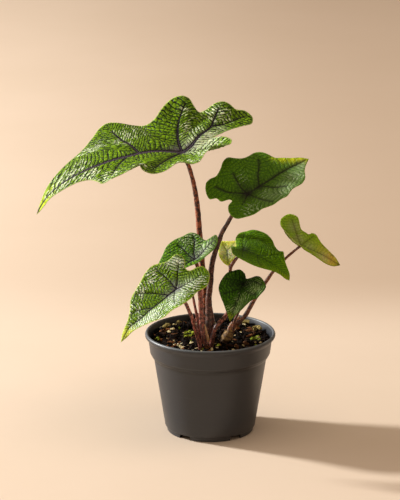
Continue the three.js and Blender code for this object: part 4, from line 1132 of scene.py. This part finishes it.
def pot_piece():
    """The pot, turned from its eased profile, with its drain notches in the foot ring."""
    profile = [
        (0, 0), (PAD_RADIUS, 0), (PAD_RADIUS, FOOT_HEIGHT), (FOOT_RADIUS - FOOT_WIDTH, FOOT_HEIGHT),
        (FOOT_RADIUS - FOOT_WIDTH, 0), (FOOT_RADIUS, 0), (FOOT_RADIUS - 0.1, FOOT_HEIGHT - 0.2),
        (BODY_BOTTOM_RADIUS - 0.5, FOOT_HEIGHT + 0.2), (BODY_BOTTOM_RADIUS, FOOT_HEIGHT + 0.9),
        (BODY_TOP_RADIUS, BODY_TOP_Z), (BODY_TOP_RADIUS + 0.5, BODY_TOP_Z + 1.8),
        (BODY_TOP_RADIUS + 2, COLLAR_BOTTOM_Z - 2.8),
        (COLLAR_BOTTOM_RADIUS - 0.5, COLLAR_BOTTOM_Z - 0.8), (COLLAR_BOTTOM_RADIUS, COLLAR_BOTTOM_Z),
        (COLLAR_TOP_RADIUS, POT_HEIGHT - 7), (RIM_RADIUS - 1.8, POT_HEIGHT - 5.2),
        (RIM_RADIUS - 0.3, POT_HEIGHT - 3.4), (RIM_RADIUS, POT_HEIGHT - 1.6),
        (RIM_RADIUS - 0.8, POT_HEIGHT - 0.3), (RIM_RADIUS - 1.8, POT_HEIGHT),
        (RIM_RADIUS - 2.8, POT_HEIGHT - 0.6),
        (COLLAR_TOP_RADIUS - WALL + 0.4, POT_HEIGHT - 5), (COLLAR_TOP_RADIUS - WALL, POT_HEIGHT - 7),
        (COLLAR_BOTTOM_RADIUS - WALL, COLLAR_BOTTOM_Z + 0.6),
        (BODY_TOP_RADIUS + 0.8 - WALL, COLLAR_BOTTOM_Z - 2.4), (BODY_TOP_RADIUS - WALL, BODY_TOP_Z + 0.6),
        (BODY_BOTTOM_RADIUS - WALL, FLOOR_TOP_Z), (0, FLOOR_TOP_Z),
    ]
    half_notch = math.asin(DRAIN_WIDTH / 2 / FOOT_RADIUS)

    def notched(angle, radius, height):
        if radius < FOOT_RADIUS - FOOT_WIDTH - 0.8 or radius > FOOT_RADIUS + 0.4 or height > DRAIN_HEIGHT:
            return radius, height
        spread = 2 * math.pi / DRAIN_COUNT
        nearest = (angle - math.radians(DRAIN_START_ANGLE - 90)) / spread
        off = abs(nearest - round(nearest)) * spread
        return radius, DRAIN_HEIGHT if off < half_notch else height

    piece = piece_from("nursery_pot", *turned(rounded(profile), POT_STEPS, notched))
    weld(piece)
    return dress(piece, pot_finish(), "pot", "pot")


def weld(piece):
    """Merges doubled points and turns all faces outwards."""
    work = bmesh.new()
    work.from_mesh(piece.data)
    bmesh.ops.remove_doubles(work, verts=work.verts, dist=1e-6)
    bmesh.ops.dissolve_degenerate(work, edges=work.edges, dist=1e-7)
    bmesh.ops.recalc_face_normals(work, faces=work.faces)
    work.to_mesh(piece.data)
    work.free()


def soil_height(x, y):
    """The CAD's own height of the soil at a place."""
    away = (x - MOUND_CENTRE[0]) ** 2 + (y - MOUND_CENTRE[1]) ** 2
    mound = MOUND_HEIGHT * math.exp(-away / MOUND_SPREAD ** 2)
    waves = math.sin(x * 0.23 + 1.3) * math.cos(y * 0.19) + 0.6 * math.sin(x * 0.11 - y * 0.27)
    return SOIL_LEVEL + SOIL_BACK_RISE * y / SOIL_EDGE_RADIUS + mound + 0.7 * waves


def rough_soil_height(x, y):
    """The same with lumps and crumbs on it."""
    lumps = noise.fractal(Vector((x * 0.16, y * 0.16, 4.2)), 0.9, 2.1, 4)
    crumbs = abs(noise.noise(Vector((x * 0.55, y * 0.55, 9.1))))
    return soil_height(x, y) + 1.9 * lumps + 1.4 * crumbs


def soil_pieces():
    """The heap of mix: a rough closed body, and the bits that lie on it."""
    walls = [(COLLAR_BOTTOM_RADIUS - WALL - CLEARANCE - SOIL_SLACK, COLLAR_BOTTOM_Z + 0.7),
             (BODY_TOP_RADIUS + 0.8 - WALL - CLEARANCE - SOIL_SLACK, COLLAR_BOTTOM_Z - 2.3),
             (BODY_TOP_RADIUS - WALL - CLEARANCE - SOIL_SLACK, BODY_TOP_Z + 0.7),
             (BODY_BOTTOM_RADIUS - WALL - CLEARANCE, FLOOR_TOP_Z + CLEARANCE),
             (0, FLOOR_TOP_Z + CLEARANCE)]
    top = [(SOIL_EDGE_RADIUS * k / SOIL_RINGS, None) for k in range(1, SOIL_RINGS + 1)]

    def heaped(angle, radius, height):
        if height is not None:
            return radius, height
        x, y = radius * math.cos(angle), radius * math.sin(angle)
        return radius, rough_soil_height(x, y) - 1.2 * smoothstep(51, SOIL_EDGE_RADIUS, radius)

    profile = [(0, rough_soil_height(0, 0))] + top + walls
    soil = piece_from("soil_heap", *turned(profile[::-1], SOIL_STEPS, heaped))
    weld(soil)
    soil_skin = earth_finish("peat_mix", "#030202", "#0d0805", 0.0, grain=700.0, depth=0.0015, clouds=120.0)
    dress(soil, soil_skin, "soil", "soil")

    tree = make_scatter_tree()
    kinds = [
        # name, finish, where, density per square metre, seed, smallest, largest, stretch, bumpiness, sink
        ("peat_crumbs", earth_finish("peat_crumb", "#020101", "#1c0f08", 0.85), "everywhere",
         110000, 3, 1.0, 3.0, (1.3, 1.0, 0.9), 0.7, 0.2),
        ("bark_chips", earth_finish("bark_chip", "#170b06", "#8f5c38", 0.9, clouds=300.0), "everywhere",
         13000, 11, 1.0, 2.8, (2.2, 0.9, 0.6), 0.6, -0.3),
        ("clods", earth_finish("clod", "#4a3c18", "#c4b070", 0.5, clouds=500.0), "clods",
         70000, 17, 1.4, 3.4, (1.2, 1.0, 0.9), 0.9, -1.2),
        ("pale_chips", earth_finish("pale_chip", "#a5874e", "#f2e0b0", 0.7, clouds=300.0), "chips",
         34000, 23, 0.9, 2.4, (1.7, 0.9, 0.6), 0.3, -0.7),
        ("moss_tufts", earth_finish("moss", "#5a6a10", "#b8c244", 0.7, clouds=400.0), "moss",
         42000, 31, 1.0, 2.7, (1.3, 1.0, 0.8), 1.0, -0.6),
        ("pumice", earth_finish("pumice", "#d0bc80", "#fff6d6", 0.6, clouds=300.0), "pumice",
         150000, 41, 0.9, 2.0, (1.1, 1.0, 0.8), 0.8, -0.8),
    ]
    spots = {
        "everywhere": [(0, 0, 400, 1.0)],
        "clods": [(-37, 34, 5, 1.0), (-24, 43, 5, 0.8), (33, 39, 6, 1.0), (10.5, 49, 4, 1.0),
                  (45, 26, 5, 0.7)],
        "chips": [(0, 0, 400, 0.14), (37, 42, 5, 1.0), (44, 30, 6, 0.8), (24, 20, 8, 0.5), (-33, 34, 8, 0.4),
                  (20, 3, 5, 0.8)],
        "moss": [(0, 0, 400, 0.04), (-17.5, 8, 5, 1.0), (-32, 12, 4, 0.8), (45, 2, 6, 1.0), (-38, 34, 5, 0.5),
                 (34, 36, 5, 0.6)],
        "pumice": [(-30, -21, 4, 0.9), (-24, -25, 5, 1.0), (-16, -29, 4, 1.0), (-10, -33, 4, 0.7),
                   (34, 33, 3, 0.5)],
    }
    for name, skin, where, density, seed, small, large, stretch, bumpy, sink in kinds:
        bed = bed_piece(spots[where])
        bits = grown(name, bed, tree, {
            "Density": float(density), "Seed": seed, "Smallest": small * MM, "Largest": large * MM,
            "Stretch": stretch, "Bumpiness": bumpy, "Sink": sink * MM, "Skin": skin})
        dress(bits, None, "soil")


def bed_piece(spots):
    """The open surface of the soil, with the share of bits that each place gets."""
    reach = SOIL_EDGE_RADIUS - 1.6
    places, faces, where = [], [], {}
    count = int(reach // BED_GRID)
    for i in range(-count, count + 1):
        for j in range(-count, count + 1):
            x, y = i * BED_GRID, j * BED_GRID
            if math.hypot(x, y) < reach:
                where[i, j] = len(places)
                places.append((x, y, rough_soil_height(x, y)))
    for (i, j), a in where.items():
        corners = [where.get(key) for key in ((i, j), (i + 1, j), (i + 1, j + 1), (i, j + 1))]
        if None not in corners:
            faces.append(corners)
    bed = piece_from("soil_bed", places, faces)
    add_measure(bed, "bit_share", spotted(spots, np.array(places)[:, :2]))
    return bed


def make_scatter_tree():
    """Lays small uneven bits on a bed: how many, how big, how long, how bumpy and how deep."""
    board, given, out = new_group(
        "soil_bits", "GeometryNodeTree",
        [("Bed", "NodeSocketGeometry"), ("Density", FLOAT, 1000.0), ("Seed", "NodeSocketInt", 0),
         ("Smallest", FLOAT, 0.001), ("Largest", FLOAT, 0.002), ("Stretch", "NodeSocketVector", (1, 1, 1)),
         ("Bumpiness", FLOAT, 0.3), ("Sink", FLOAT, 0.0), ("Skin", "NodeSocketMaterial")],
        [("Bits", "NodeSocketGeometry")])
    share = board.add("GeometryNodeInputNamedAttribute", {"Name": "bit_share"}).outputs[0]
    density = board.times(given["Density"], share)
    points = board.add("GeometryNodeDistributePointsOnFaces",
                       {"Mesh": given["Bed"], "Density": density, "Seed": given["Seed"]}).outputs
    bit = board.add("GeometryNodeMeshIcoSphere", {"Radius": 1.0, "Subdivisions": 2}).outputs[0]
    size = board.random("FLOAT", given["Smallest"], given["Largest"], given["Seed"])
    scale = board.vector("SCALE", given["Stretch"], size)
    turn = board.random("FLOAT_VECTOR", (-0.5, -0.5, 0.0), (0.5, 0.5, 6.28), given["Seed"])
    placed = board.add("GeometryNodeInstanceOnPoints", {"Points": points["Points"], "Instance": bit,
                                                        "Rotation": turn, "Scale": scale}).outputs[0]
    tone = board.random("FLOAT", 0.0, 1.0, board.plus(given["Seed"], 5.0))
    marked = board.add("GeometryNodeStoreNamedAttribute",
                       {"Geometry": placed, "Name": "bit_tone", "Value": tone}, domain="INSTANCE").outputs[0]
    real = board.add("GeometryNodeRealizeInstances", {"Geometry": marked}).outputs[0]
    lumps = board.add("ShaderNodeTexNoise", {"Vector": board.add("GeometryNodeInputPosition").outputs[0],
                                             "Scale": 620.0, "Detail": 2.0}).outputs["Color"]
    strength = board.times(given["Bumpiness"], board.times(given["Largest"], 2.2))
    moved = board.vector("SCALE", board.vector("SUBTRACT", lumps, (0.5, 0.5, 0.5)), strength)
    down = board.vector("SUBTRACT", moved, board.together(0.0, 0.0, given["Sink"]))
    shaped = board.add("GeometryNodeSetPosition", {"Geometry": real, "Offset": down}).outputs[0]
    done = board.add("GeometryNodeSetMaterial", {"Geometry": shaped, "Material": given["Skin"]}).outputs[0]
    board.feed(out.inputs["Bits"], done)
    return board.tree


def corm_ring(angle, height):
    """How much a ring round the corm is pulled in at a place, from 0 to 1."""
    return max(0.0, math.sin(height * CORM_RING_PITCH + 0.5 * math.sin(angle * 2)))


def corm_piece():
    """The corm of the side shoot: a ringed, uneven body that leans to the right."""
    profile = rounded(CORM_PROFILE, 1.2, 4)
    points = [profile[0]]
    for a, b in zip(profile, profile[1:]):
        parts = max(1, int(math.hypot(b[0] - a[0], b[1] - a[1]) / 0.6))
        for k in range(1, parts + 1):
            points.append((a[0] + (b[0] - a[0]) * k / parts, a[1] + (b[1] - a[1]) * k / parts))

    def uneven(angle, radius, height):
        where = Vector((math.cos(angle) * 1.6, math.sin(angle) * 1.6, height * 0.5))
        ridge = 0.14 * math.sin(angle * 9 + height * 0.4) * noise.noise(where * 1.3)
        ring = 0.16 * corm_ring(angle, height)
        return max(0.05, radius + 0.5 * noise.noise(where) + ridge - ring), height

    places, faces = turned(points, CORM_STEPS, uneven)
    rings = np.array([corm_ring(math.atan2(y, x), z) for x, y, z in places])
    lean = Vector((0, 0, 1)).rotation_difference(Vector(CORM_LEAN))
    places = np.array([tuple(lean @ Vector(p)) for p in places]) + np.array(CORM_BASE)
    piece = piece_from("side_corm", places, faces)
    add_measure(piece, "corm_rings", rings)
    return dress(piece, corm_finish(), "corm", "corm")


def sheath_piece(sheath, skin):
    """A dry sheath: a pointed strip, bowed and a little crumpled, with two faces."""
    start, tip = np.array(sheath["foot"], float), np.array(sheath["tip"], float)
    along, out = tip - start, unit(sheath["facing"])
    across = unit(np.cross(unit(along), out))
    rows, columns, half_width = SHEATH_ROWS, SHEATH_COLUMNS, sheath["half_width"]
    middle, faces, plane = [], [], []
    for row in range(rows + 1):
        share = row / rows
        width = half_width * (0.12 + 0.88 * math.sqrt(1 - share)) * (0.75 + 0.25 * math.sin(share * math.pi))
        for column in range(columns + 1):
            side = column / columns * 2 - 1
            bow = -half_width * 0.45 * side * side + half_width * 0.25 * math.sin(share * 2.4)
            crumple = 0.3 * noise.noise(Vector((share * 7, side * 1.5, start[0])))
            ragged = 1 + 0.1 * noise.noise(Vector((share * 16, side, start[1])))
            middle.append(start + along * share + across * side * width * ragged + out * (bow + crumple))
            plane.append((side * width, share * np.linalg.norm(along)))
    for row in range(rows):
        for column in range(columns):
            a = row * (columns + 1) + column
            b = a + columns + 1
            faces += [(a, b, a + 1), (a + 1, b, b + 1)]
    middle, faces = np.array(middle), np.array(faces)
    normal = sheet_normals(middle, faces)
    total = len(middle)
    rim, seen = [], {(f[k], f[(k + 1) % 3]) for f in faces.tolist() for k in range(3)}
    for a, b in seen:
        if (b, a) not in seen:
            rim.append((b, a, a + total, b + total))
    rim.sort()
    piece = shell_from(sheath["name"].replace("dry", "papery"), middle + normal * SHEATH_HALF,
                       middle - normal * SHEATH_HALF, faces, rim)
    plane = np.array(plane + plane)
    add_plane_map(piece, plane[:, 0] / 4, plane[:, 1] / 4)
    return dress(piece, skin, "dry_sheath", sheath["name"])


# ---------------------------------------------------------------- camera, light and floor

def set_stage():
    """The camera, the lamps, the light all round and the floor."""
    eye = bpy.data.cameras.new("eye")
    eye.lens, eye.sensor_fit = EYE_LENS, "VERTICAL"
    eye.sensor_width = eye.sensor_height = EYE_SENSOR
    eye.clip_start, eye.clip_end = 0.05, 20
    camera = new_object("eye", eye)
    camera.location = EYE_PLACE
    camera.rotation_euler = (math.radians(EYE_TILT), 0, 0)
    bpy.context.scene.camera = camera

    lamps = [
        # name, place, aim, size, power, colour
        ("window", (-2.69, 0.97, 1.58), (0, 0, 0.14), 0.32, 146, (1.0, 1.0, 0.98)),
        ("bright_side", (-3.2, 0.9, 0.75), (0, 0, 0.1), 2.2, 32, (1.0, 0.96, 0.94)),
        ("above", (0.3, -0.4, 3.4), (0, 0, 0.1), 2.0, 22, (1.0, 0.84, 0.7)),
    ]
    for name, place, aim, size, power, color in lamps:
        lamp = bpy.data.lights.new(name, "AREA")
        lamp.shape, lamp.size, lamp.energy, lamp.color = "DISK", size, power, color
        holder = new_object(name, lamp)
        holder.location = place
        holder.rotation_euler = (Vector(aim) - Vector(place)).to_track_quat("-Z", "Y").to_euler()

    bpy.context.scene.view_settings.view_transform = "Standard"
    world = bpy.data.worlds.new("studio")
    world.use_nodes = True
    background = world.node_tree.nodes["Background"]
    background.inputs["Color"].default_value = (1.0, 0.79, 0.6, 1)
    background.inputs["Strength"].default_value = 0.36
    bpy.context.scene.world = world

    turns = [2 * math.pi * i / 96 for i in range(96)]
    floor = piece_from("floor", [(FLOOR_REACH * math.cos(a), FLOOR_REACH * math.sin(a), 0) for a in turns],
                       [range(96)])
    floor.data.materials.append(floor_finish())


# ---------------------------------------------------------------- making

set_stage()
pot_piece()
soil_pieces()
corm_piece()
crown_skin = sheath_finish("dry_sheath_orange", "#ffdab4", "#e69a66")
corm_sheath_skin = sheath_finish("dry_sheath_cream", "#d2a58a", "#8a5a48")
for sheath in SHEATHS:
    sheath_piece(sheath, crown_skin if sheath["name"].endswith("crown") else corm_sheath_skin)
stem_tree = make_stem_tree()
stem_skins = {name: stem_finish(name) for name in STEM_FINISH}
for leaf in LEAVES:
    stem_piece(leaf, stem_tree, stem_skins)
    blade_piece(leaf)
